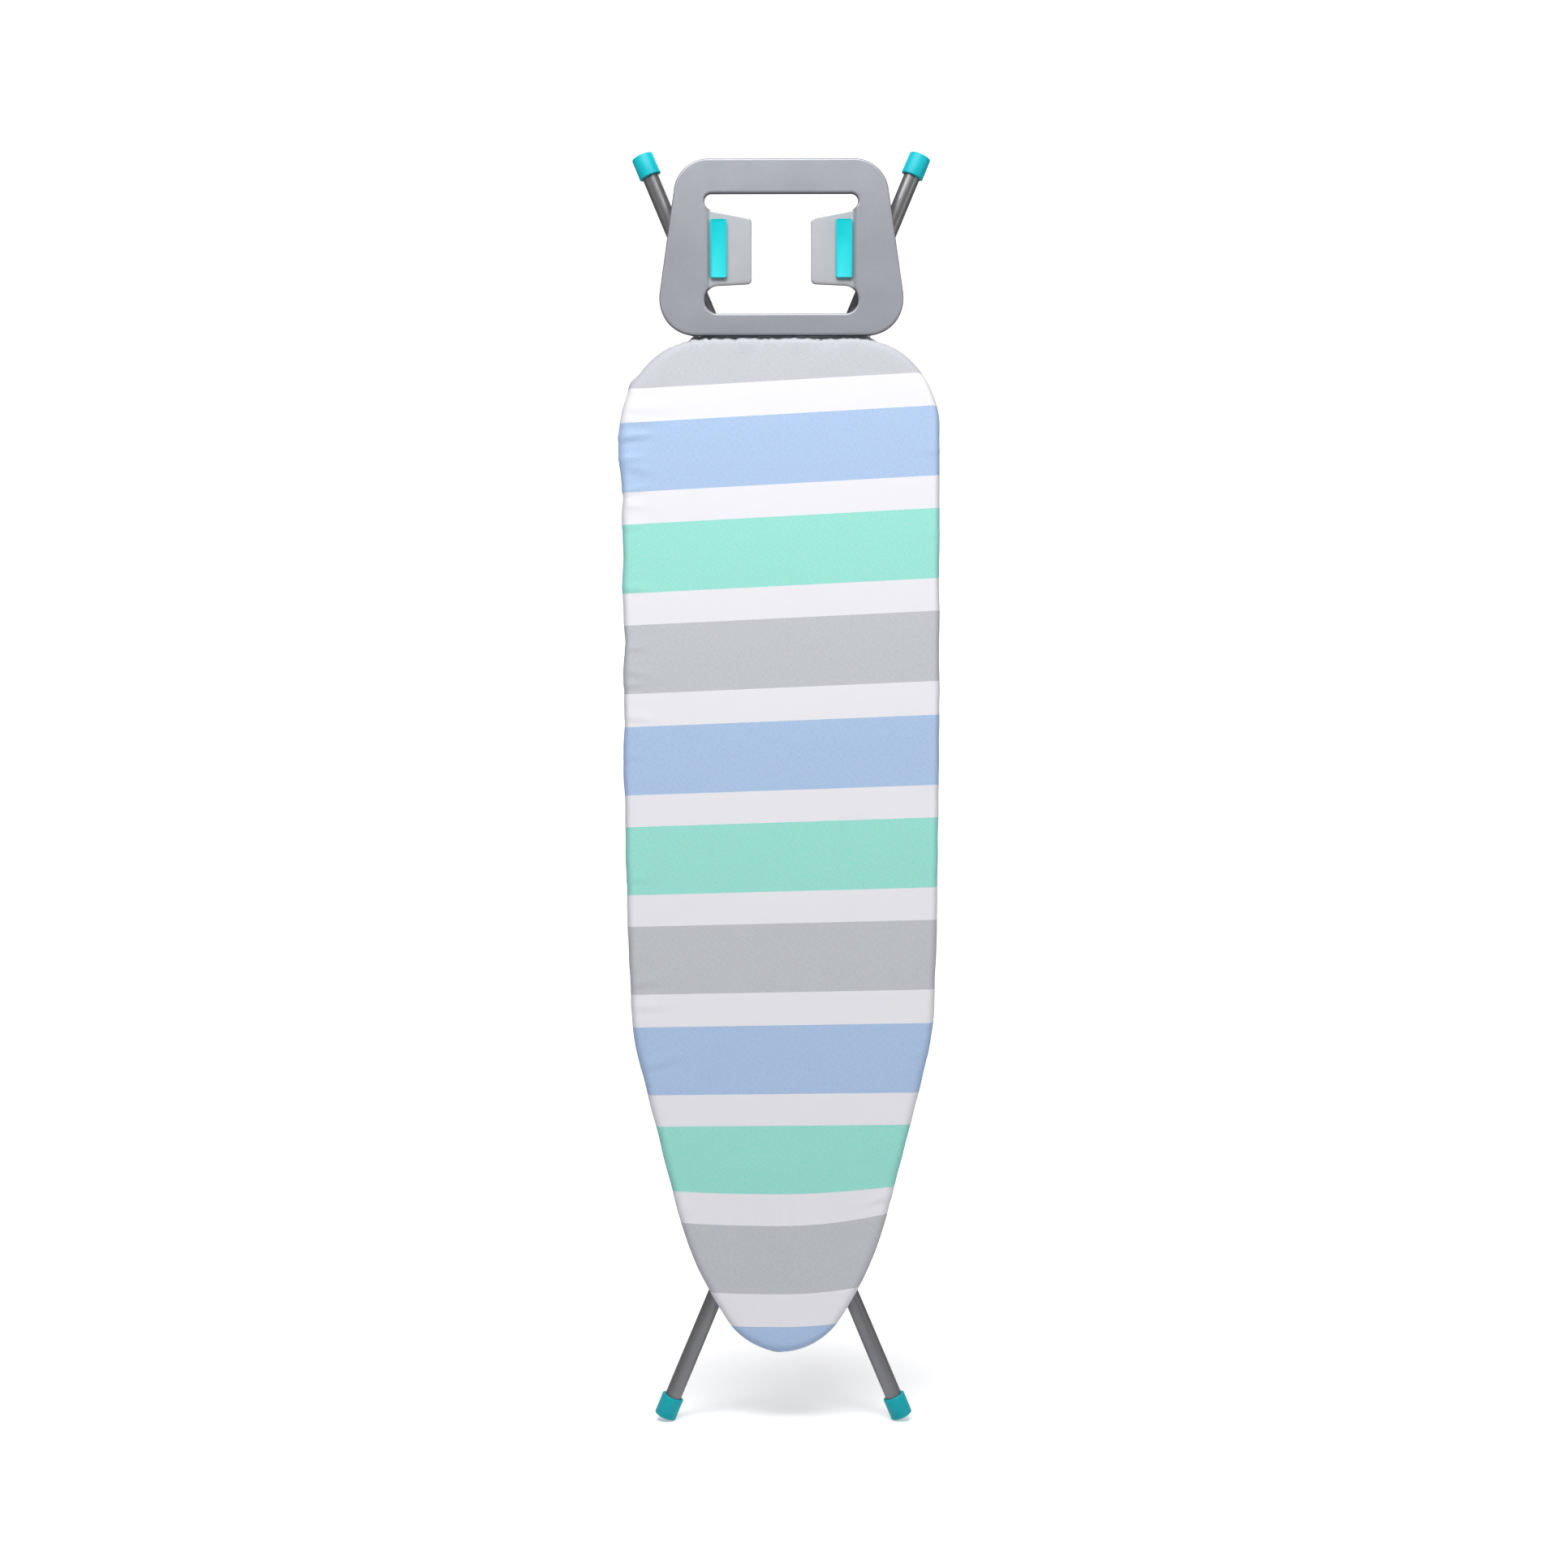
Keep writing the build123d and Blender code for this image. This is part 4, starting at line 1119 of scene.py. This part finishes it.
def grip_profile(low, high, radius):
    """Section of the ribbed lever grip: rounded ends and a waist between finger ribs."""
    length = high - low
    places = [(0.0, 0.5 * mm), (0.0, 0.55 * radius), (1.2 * mm, 0.85 * radius),
              (3 * mm, radius)]
    start = grip_end
    end = length - grip_end
    gap = (end - start) / grip_ribs / 2
    for rib in range(grip_ribs):
        middle = start + (2 * rib + 1) * gap
        places += [(middle - gap, 0.88 * radius), (middle - 0.6 * gap, 0.97 * radius),
                   (middle + 0.6 * gap, 0.97 * radius)]
    places += [(end, 0.88 * radius), (length - 3 * mm, radius),
               (length - 1.2 * mm, 0.85 * radius), (length, 0.55 * radius), (length, 0.5 * mm)]
    return [(low + height, ring) for height, ring in places]


def make_grip(material):
    """The lever's moulded grip, with finger ribs."""
    low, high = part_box("lever_grip")
    radius = (high.x - low.x) / 2
    grip = turned("lever_handle", grip_profile(low.z, high.z, radius), 36)
    grip.data.transform(Matrix.Translation(Vector(((low.x + high.x) / 2,
                                                   (low.y + high.y) / 2, 0))))
    smooth(grip, 50)
    return finish_piece(grip, material, "lever", "foot_plastic", "lever_grip")


# ================================================================ materials
def new_material(name):
    material = bpy.data.materials.new(name)
    material.use_nodes = True
    tree = material.node_tree
    shader = tree.nodes["Principled BSDF"]
    return material, tree, shader


def node(tree, kind, **settings):
    made = tree.nodes.new(kind)
    for key, value in settings.items():
        setattr(made, key, value)
    return made


def maths(tree, operation, first, second=None):
    """A Math node; each input is a socket or a number."""
    made = node(tree, "ShaderNodeMath", operation=operation)
    for socket, value in zip(made.inputs, (first, second)):
        if value is None:
            continue
        if isinstance(value, (int, float)):
            socket.default_value = value
        else:
            tree.links.new(value, socket)
    return made.outputs[0]


def mixed(tree, share, first, second):
    """A colour mix; each of the two colours is a socket or three numbers."""
    made = node(tree, "ShaderNodeMix", data_type="RGBA")
    for socket, value in ((made.inputs[0], share), (made.inputs[6], first),
                          (made.inputs[7], second)):
        if isinstance(value, (int, float)):
            socket.default_value = value
        elif isinstance(value, tuple):
            socket.default_value = (*value, 1)
        else:
            tree.links.new(value, socket)
    return made.outputs[2]


def new_group(name, inputs, outputs):
    """A shader node group with named sockets, and its two end nodes."""
    group = bpy.data.node_groups.new(name, "ShaderNodeTree")
    for label, kind, value in inputs:
        socket = group.interface.new_socket(label, in_out="INPUT", socket_type=kind)
        if value is not None:
            socket.default_value = value
    for label, kind in outputs:
        group.interface.new_socket(label, in_out="OUTPUT", socket_type=kind)
    return group, node(group, "NodeGroupInput"), node(group, "NodeGroupOutput")


def place_group(tree, group, vector=None, **values):
    made = node(tree, "ShaderNodeGroup", node_tree=group)
    if vector is not None:
        tree.links.new(vector, made.inputs["Vector"])
    for label, value in values.items():
        made.inputs[label.replace("_", " ")].default_value = value
    return made


FLOAT, VECTOR = "NodeSocketFloat", "NodeSocketVector"


def make_mottle_group():
    """Uneven paint or moulding: cloudy patches and a fine grain."""
    group, start, end = new_group(
        "surface mottle",
        [("Vector", VECTOR, None), ("Patch Scale", FLOAT, 20.0), ("Grain Scale", FLOAT, 1500.0)],
        [("Patches", FLOAT), ("Grain", FLOAT)])
    patches = node(group, "ShaderNodeTexNoise")
    patches.inputs["Detail"].default_value = 4
    patches.inputs["Roughness"].default_value = 0.6
    grain = node(group, "ShaderNodeTexNoise")
    grain.inputs["Detail"].default_value = 2
    for made, label in ((patches, "Patch Scale"), (grain, "Grain Scale")):
        group.links.new(start.outputs["Vector"], made.inputs["Vector"])
        group.links.new(start.outputs[label], made.inputs["Scale"])
    group.links.new(patches.outputs[0], end.inputs["Patches"])
    group.links.new(grain.outputs[0], end.inputs["Grain"])
    return group


def make_weave_group():
    """Plain weave on flat cloth coordinates: thread height, and the slubs of each set."""
    group, start, end = new_group(
        "plain weave",
        [("Vector", VECTOR, None), ("Pitch", FLOAT, thread_pitch)],
        [("Height", FLOAT), ("Slub", FLOAT)])
    split = node(group, "ShaderNodeSeparateXYZ")
    group.links.new(start.outputs["Vector"], split.inputs[0])
    waves = []
    for axis in (0, 1):
        turns = maths(group, "DIVIDE", split.outputs[axis], start.outputs["Pitch"])
        waves.append(maths(group, "SINE", maths(group, "MULTIPLY", turns, pi)))
    over = maths(group, "GREATER_THAN", maths(group, "MULTIPLY", *waves), 0.0)
    under = maths(group, "SUBTRACT", 1.0, over)
    warp = maths(group, "MULTIPLY", maths(group, "ABSOLUTE", waves[0]), over)
    weft = maths(group, "MULTIPLY", maths(group, "ABSOLUTE", waves[1]), under)
    group.links.new(maths(group, "ADD", warp, weft), end.inputs["Height"])
    slubs = []
    for stretch in ((260.0, 1500.0, 1.0), (1500.0, 260.0, 1.0)):
        stretched = node(group, "ShaderNodeVectorMath", operation="MULTIPLY")
        stretched.inputs[1].default_value = stretch
        group.links.new(start.outputs["Vector"], stretched.inputs[0])
        streaks = node(group, "ShaderNodeTexNoise")
        streaks.inputs["Scale"].default_value = 1.0
        streaks.inputs["Detail"].default_value = 3
        streaks.inputs["Roughness"].default_value = 0.65
        group.links.new(stretched.outputs[0], streaks.inputs["Vector"])
        slubs.append(streaks.outputs[0])
    both = maths(group, "MULTIPLY", maths(group, "ADD", *slubs), 0.5)
    group.links.new(both, end.inputs["Slub"])
    return group


def bump(tree, shader, height, distance, strength=1.0):
    made = node(tree, "ShaderNodeBump")
    made.inputs["Strength"].default_value = strength
    made.inputs["Distance"].default_value = distance
    tree.links.new(height, made.inputs["Height"])
    tree.links.new(made.outputs[0], shader.inputs["Normal"])


def object_coordinates(tree):
    return node(tree, "ShaderNodeTexCoord").outputs["Object"]


def make_striped_cotton(weave):
    """Yarn-dyed cotton: blue, mint and grey stripes, each with a white one above it."""
    material, tree, shader = new_material("striped cotton")
    cloth = node(tree, "ShaderNodeUVMap", uv_map="cloth").outputs[0]
    threads = place_group(tree, weave, cloth)
    split = node(tree, "ShaderNodeSeparateXYZ")
    tree.links.new(cloth, split.inputs[0])
    waver = maths(tree, "MULTIPLY", maths(tree, "SUBTRACT", threads.outputs["Slub"], 0.5),
                  1.2 * mm)
    height = maths(tree, "ADD", split.outputs[1], waver)
    drop = maths(tree, "SUBTRACT", stripe_top + 3 * stripe_repeat, height)
    turns = maths(tree, "FRACT", maths(tree, "DIVIDE", drop, 3 * stripe_repeat))
    stripes = node(tree, "ShaderNodeValToRGB")
    stripes.color_ramp.interpolation = "CONSTANT"
    tree.links.new(turns, stripes.inputs[0])
    stops = stripes.color_ramp.elements
    share = white_stripe / stripe_repeat / 3
    while len(stops) < 6:
        stops.new(0.5)
    for band, dye in enumerate((blue_yarn, mint_yarn, grey_yarn)):
        stops[2 * band].position = band / 3
        stops[2 * band].color = (*white_yarn, 1)
        stops[2 * band + 1].position = band / 3 + share
        stops[2 * band + 1].color = (*dye, 1)
    fleck = node(tree, "ShaderNodeMapRange")
    fleck.inputs["From Min"].default_value = 0.38
    fleck.inputs["From Max"].default_value = 0.62
    fleck.inputs["To Min"].default_value = 0.0
    fleck.inputs["To Max"].default_value = 0.30
    tree.links.new(threads.outputs["Slub"], fleck.inputs["Value"])
    colour = mixed(tree, fleck.outputs[0], stripes.outputs[0], slub_yarn)
    # painted shade: the cloth's colour is darkened where it turns round the board's edge
    edge_shade_mark = node(tree, "ShaderNodeAttribute", attribute_name="edge")
    edge_shaded = node(tree, "ShaderNodeMix", data_type="RGBA", blend_type="MULTIPLY")
    tree.links.new(maths(tree, "MULTIPLY", edge_shade_mark.outputs["Fac"], 0.8), edge_shaded.inputs[0])
    tree.links.new(colour, edge_shaded.inputs[6])
    edge_shaded.inputs[7].default_value = (*edge_shade_grey, 1)
    tree.links.new(edge_shaded.outputs[2], shader.inputs["Base Color"])
    shader.inputs["Roughness"].default_value = 0.85
    shader.inputs["Specular IOR Level"].default_value = 0.25
    shader.inputs["Sheen Weight"].default_value = 0.12
    shader.inputs["Sheen Roughness"].default_value = 0.5
    bump(tree, shader, threads.outputs["Height"], 0.12 * mm, 0.55)
    return material


def make_hem_cotton(weave):
    """Plain white cotton for the casing at the hem."""
    material, tree, shader = new_material("white hem cotton")
    place = object_coordinates(tree)
    threads = place_group(tree, weave, place)
    colour = mixed(tree, threads.outputs["Slub"], hem_shade, hem_white)
    tree.links.new(colour, shader.inputs["Base Color"])
    shader.inputs["Roughness"].default_value = 0.85
    bump(tree, shader, threads.outputs["Slub"], 0.3 * mm, 0.6)
    return material


def make_thread():
    material, tree, shader = new_material("white sewing thread")
    grain = node(tree, "ShaderNodeTexNoise")
    grain.inputs["Scale"].default_value = 2500
    tree.links.new(object_coordinates(tree), grain.inputs["Vector"])
    tree.links.new(mixed(tree, grain.outputs[0], thread_shade, thread_white),
                   shader.inputs["Base Color"])
    shader.inputs["Roughness"].default_value = 0.6
    return material


def make_felt_material():
    """White needled felt with grey fibres."""
    material, tree, shader = new_material("needled felt")
    place = object_coordinates(tree)
    fibres = node(tree, "ShaderNodeTexNoise")
    fibres.inputs["Scale"].default_value = 700
    fibres.inputs["Detail"].default_value = 6
    fibres.inputs["Distortion"].default_value = 1.5
    tree.links.new(place, fibres.inputs["Vector"])
    tree.links.new(mixed(tree, fibres.outputs[0], felt_grey, felt_white),
                   shader.inputs["Base Color"])
    shader.inputs["Roughness"].default_value = 0.95
    bump(tree, shader, fibres.outputs[0], 0.5 * mm, 0.8)
    return material


def vary_gloss(tree, shader, patches, low, high):
    """Roughness that runs from low to high with the cloudy patches."""
    gloss = node(tree, "ShaderNodeMapRange")
    gloss.inputs["To Min"].default_value = low
    gloss.inputs["To Max"].default_value = high
    tree.links.new(patches, gloss.inputs["Value"])
    tree.links.new(gloss.outputs[0], shader.inputs["Roughness"])


def make_paint(name, mottle, colour, spread, roughness, metallic, patch=18.0, grain=2600.0,
               relief=0.02):
    """Sprayed paint over steel: cloudy patches in colour and gloss, and fine metal flake."""
    material, tree, shader = new_material(name)
    surface = place_group(tree, mottle, object_coordinates(tree), Patch_Scale=patch,
                          Grain_Scale=grain)
    dark = tuple(channel * (1 - spread) for channel in colour)
    light = tuple(min(channel * (1 + spread), 1.0) for channel in colour)
    base = mixed(tree, surface.outputs["Patches"], dark, light)
    flaked = node(tree, "ShaderNodeMix", data_type="RGBA", blend_type="SOFT_LIGHT")
    flaked.inputs[0].default_value = 0.35
    tree.links.new(base, flaked.inputs[6])
    tree.links.new(surface.outputs["Grain"], flaked.inputs[7])
    tree.links.new(flaked.outputs[2], shader.inputs["Base Color"])
    shader.inputs["Metallic"].default_value = metallic
    vary_gloss(tree, shader, surface.outputs["Patches"], roughness - 0.06, roughness + 0.08)
    bump(tree, shader, surface.outputs["Grain"], relief * mm, 0.5)
    return material


def make_plastic(name, mottle, colour, roughness, relief=0.03):
    """Moulded plastic or silicone: even colour with a slight bloom and a fine texture."""
    material, tree, shader = new_material(name)
    surface = place_group(tree, mottle, object_coordinates(tree), Patch_Scale=60.0,
                          Grain_Scale=2200.0)
    pale = tuple(min(1.14 * channel, 1.0) for channel in colour)
    tree.links.new(mixed(tree, surface.outputs["Patches"], colour, pale),
                   shader.inputs["Base Color"])
    vary_gloss(tree, shader, surface.outputs["Patches"], roughness - 0.05, roughness + 0.10)
    shader.inputs["Specular IOR Level"].default_value = 0.28
    bump(tree, shader, surface.outputs["Grain"], relief * mm, 0.5)
    return material


def paint_edge_shade(material, colour):
    """Paints shade on the rest's pressed edges: the colour darkens where the sheet turns away from
    the front, standing in for the dark that these edges reflect.
    """
    tree = material.node_tree
    shader = tree.nodes["Principled BSDF"]
    old = shader.inputs["Base Color"].links[0].from_socket
    split = node(tree, "ShaderNodeSeparateXYZ")
    tree.links.new(node(tree, "ShaderNodeNewGeometry").outputs["True Normal"], split.inputs[0])
    facing = node(tree, "ShaderNodeMapRange", interpolation_type="SMOOTHSTEP")
    facing.inputs["From Min"].default_value = 0.25
    facing.inputs["From Max"].default_value = 0.80
    tree.links.new(maths(tree, "ABSOLUTE", split.outputs[1]), facing.inputs["Value"])
    tree.links.new(mixed(tree, facing.outputs[0], colour, old), shader.inputs["Base Color"])


def paint_tongue_highlight(material, amount):
    """Paints a highlight on the tongues: the colour is brighter where they are folded back to the
    light.
    """
    tree = material.node_tree
    shader = tree.nodes["Principled BSDF"]
    old = shader.inputs["Base Color"].links[0].from_socket
    mark = node(tree, "ShaderNodeAttribute", attribute_name="tongue")
    share = maths(tree, "MULTIPLY", mark.outputs["Fac"], amount)
    tree.links.new(mixed(tree, share, old, tongue_highlight), shader.inputs["Base Color"])


def make_floor_material():
    """Pale studio floor that glows to the camera away from the part, so it stays white.
    From below, where only its outside shows, it is clear."""
    material, tree, shader = new_material("pale floor")
    place = object_coordinates(tree)
    clouds = node(tree, "ShaderNodeTexNoise")
    clouds.inputs["Scale"].default_value = 1.2
    tree.links.new(place, clouds.inputs["Vector"])
    tree.links.new(mixed(tree, clouds.outputs[0], floor_shade, floor_white),
                   shader.inputs["Base Color"])
    shader.inputs["Roughness"].default_value = 0.7
    far = node(tree, "ShaderNodeMapRange", interpolation_type="SMOOTHSTEP")
    far.inputs["From Min"].default_value = lit_radius
    far.inputs["From Max"].default_value = white_radius
    distance = node(tree, "ShaderNodeVectorMath", operation="LENGTH")
    tree.links.new(place, distance.inputs[0])
    tree.links.new(distance.outputs["Value"], far.inputs["Value"])
    seen = node(tree, "ShaderNodeLightPath").outputs["Is Camera Ray"]
    share = maths(tree, "ADD", maths(tree, "MULTIPLY", far.outputs[0], 0.7), 0.38)
    shader.inputs["Emission Color"].default_value = (1, 1, 1, 1)
    tree.links.new(maths(tree, "MULTIPLY", seen, share), shader.inputs["Emission Strength"])
    inside = node(tree, "ShaderNodeNewGeometry").outputs["Backfacing"]
    tree.links.new(inside, shader.inputs["Alpha"])
    return material


# ================================================================ hard parts of the frame
def paint_nodes(material, *names):
    for name in names:
        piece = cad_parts[name]
        piece.data.materials.clear()
        piece.data.materials.append(material)


def paint_frame(mottle):
    """Makes the finishes and puts one on every hard part."""
    leg_paint = make_paint("silver leg paint", mottle, leg_silver, 0.10, 0.36, 0.75)
    frame_paint = make_paint("grey frame paint", mottle, frame_grey, 0.08, 0.45, 0.35)
    rest_paint = make_paint("silver rest paint", mottle, rest_silver, 0.11, 0.42, 0.40,
                            patch=16.0)
    # painted highlight on the folded tongues
    paint_tongue_highlight(rest_paint, 0.22)
    # painted shade along the rest's pressed edges
    paint_edge_shade(rest_paint, rest_edge_shade)
    zinc = make_paint("zinc plate", mottle, zinc_grey, 0.12, 0.30, 1.0, patch=60.0)
    nylon = make_plastic("black nylon", mottle, nylon_black, 0.45)
    turquoise = make_plastic("turquoise plastic", mottle, foot_turquoise, 0.42)
    silicone = make_plastic("turquoise silicone", mottle, pad_turquoise, 0.50)
    legs = [f"{leg}_{side}_{piece}" for leg in ("front_leg", "rear_leg")
            for side in ("left", "right") for piece in ("tube", "lug")]
    paint_nodes(leg_paint, *legs, "front_leg_brace", "rear_leg_brace")
    make_feet(turquoise)
    make_grip(turquoise)
    paint_nodes(frame_paint, "board_rim", "nose_rib", "front_rib", "middle_rib", "rear_rib",
                "tail_rib", "left_rail", "right_rail")
    make_iron_rest(rest_paint)
    make_rest_pad(silicone, "left_heat_pad", "left_rest_pad")
    make_rest_pad(silicone, "right_heat_pad", "right_rest_pad")
    paint_nodes(zinc, "rail_rivets", "tail_pivot_rod", "lever_spring", "clamp_screws",
                "cross_rivets", "slide_bar", "lever_rod", "lock_plate", "left_rest_rod",
                "right_rest_rod")
    paint_nodes(nylon, "pivot_rod_caps", "left_pivot_spacer", "right_pivot_spacer",
                "centre_pivot_spacer", "rest_rod_clamps", "cross_washers",
                "left_slide_roller", "right_slide_roller", "slide_bar_caps", "lever_clip")


# ================================================================ stage
def make_stage():
    """A pale round floor that sweeps up into a wall on all sides, so every view is plain."""
    profile = [(0.0, radius) for radius in (*floor_rings, studio_radius - studio_sweep)]
    for step in range(1, sweep_steps + 1):
        turn = pi / 2 * step / sweep_steps
        profile.append((studio_sweep * (1 - cos(turn)),
                        studio_radius - studio_sweep * (1 - sin(turn))))
    profile.append((studio_height, studio_radius))
    studio = turned("studio_floor", profile, studio_steps, closed=False)
    studio.data.materials.append(make_floor_material())
    smooth(studio, 60)


def add_area_light(name, place, target, size, power):
    data = bpy.data.lights.new(name, "AREA")
    data.shape = "RECTANGLE"
    data.size, data.size_y = size
    data.energy = power
    light = bpy.data.objects.new(name, data)
    light.location = place
    light.rotation_euler = (Vector(target) - Vector(place)).to_track_quat("-Z", "Y").to_euler()
    bpy.context.collection.objects.link(light)


def make_lights():
    for light in lights:
        add_area_light(*light)
    world = bpy.data.worlds.new("studio")
    bpy.context.scene.world = world
    world.use_nodes = True
    background = world.node_tree.nodes["Background"]
    background.inputs["Color"].default_value = (*sky_white, 1)
    background.inputs["Strength"].default_value = sky_strength
    bpy.context.scene.view_settings.view_transform = "Standard"


def make_camera():
    data = bpy.data.cameras.new("camera")
    data.lens = camera_lens
    data.sensor_width = camera_sensor
    camera = bpy.data.objects.new("camera", data)
    camera.location = (camera_side, cover_front - camera_distance, camera_height)
    camera.rotation_euler = (pi / 2 - camera_tilt, camera_roll, 0)
    bpy.context.collection.objects.link(camera)
    bpy.context.scene.camera = camera


# ================================================================ build
mottle = make_mottle_group()
weave = make_weave_group()
make_camera()
make_stage()
make_lights()
paint_frame(mottle)
hem_cotton = make_hem_cotton(weave)
cover, cloth_area = make_cover(make_striped_cotton(weave))
band = make_hem_band(hem_cotton)
stitching = make_hem_stitching(make_thread())
felt = make_felt(make_felt_material())
make_expanded_mesh(make_paint("light mesh paint", mottle, mesh_grey, 0.06, 0.45, 0.3))
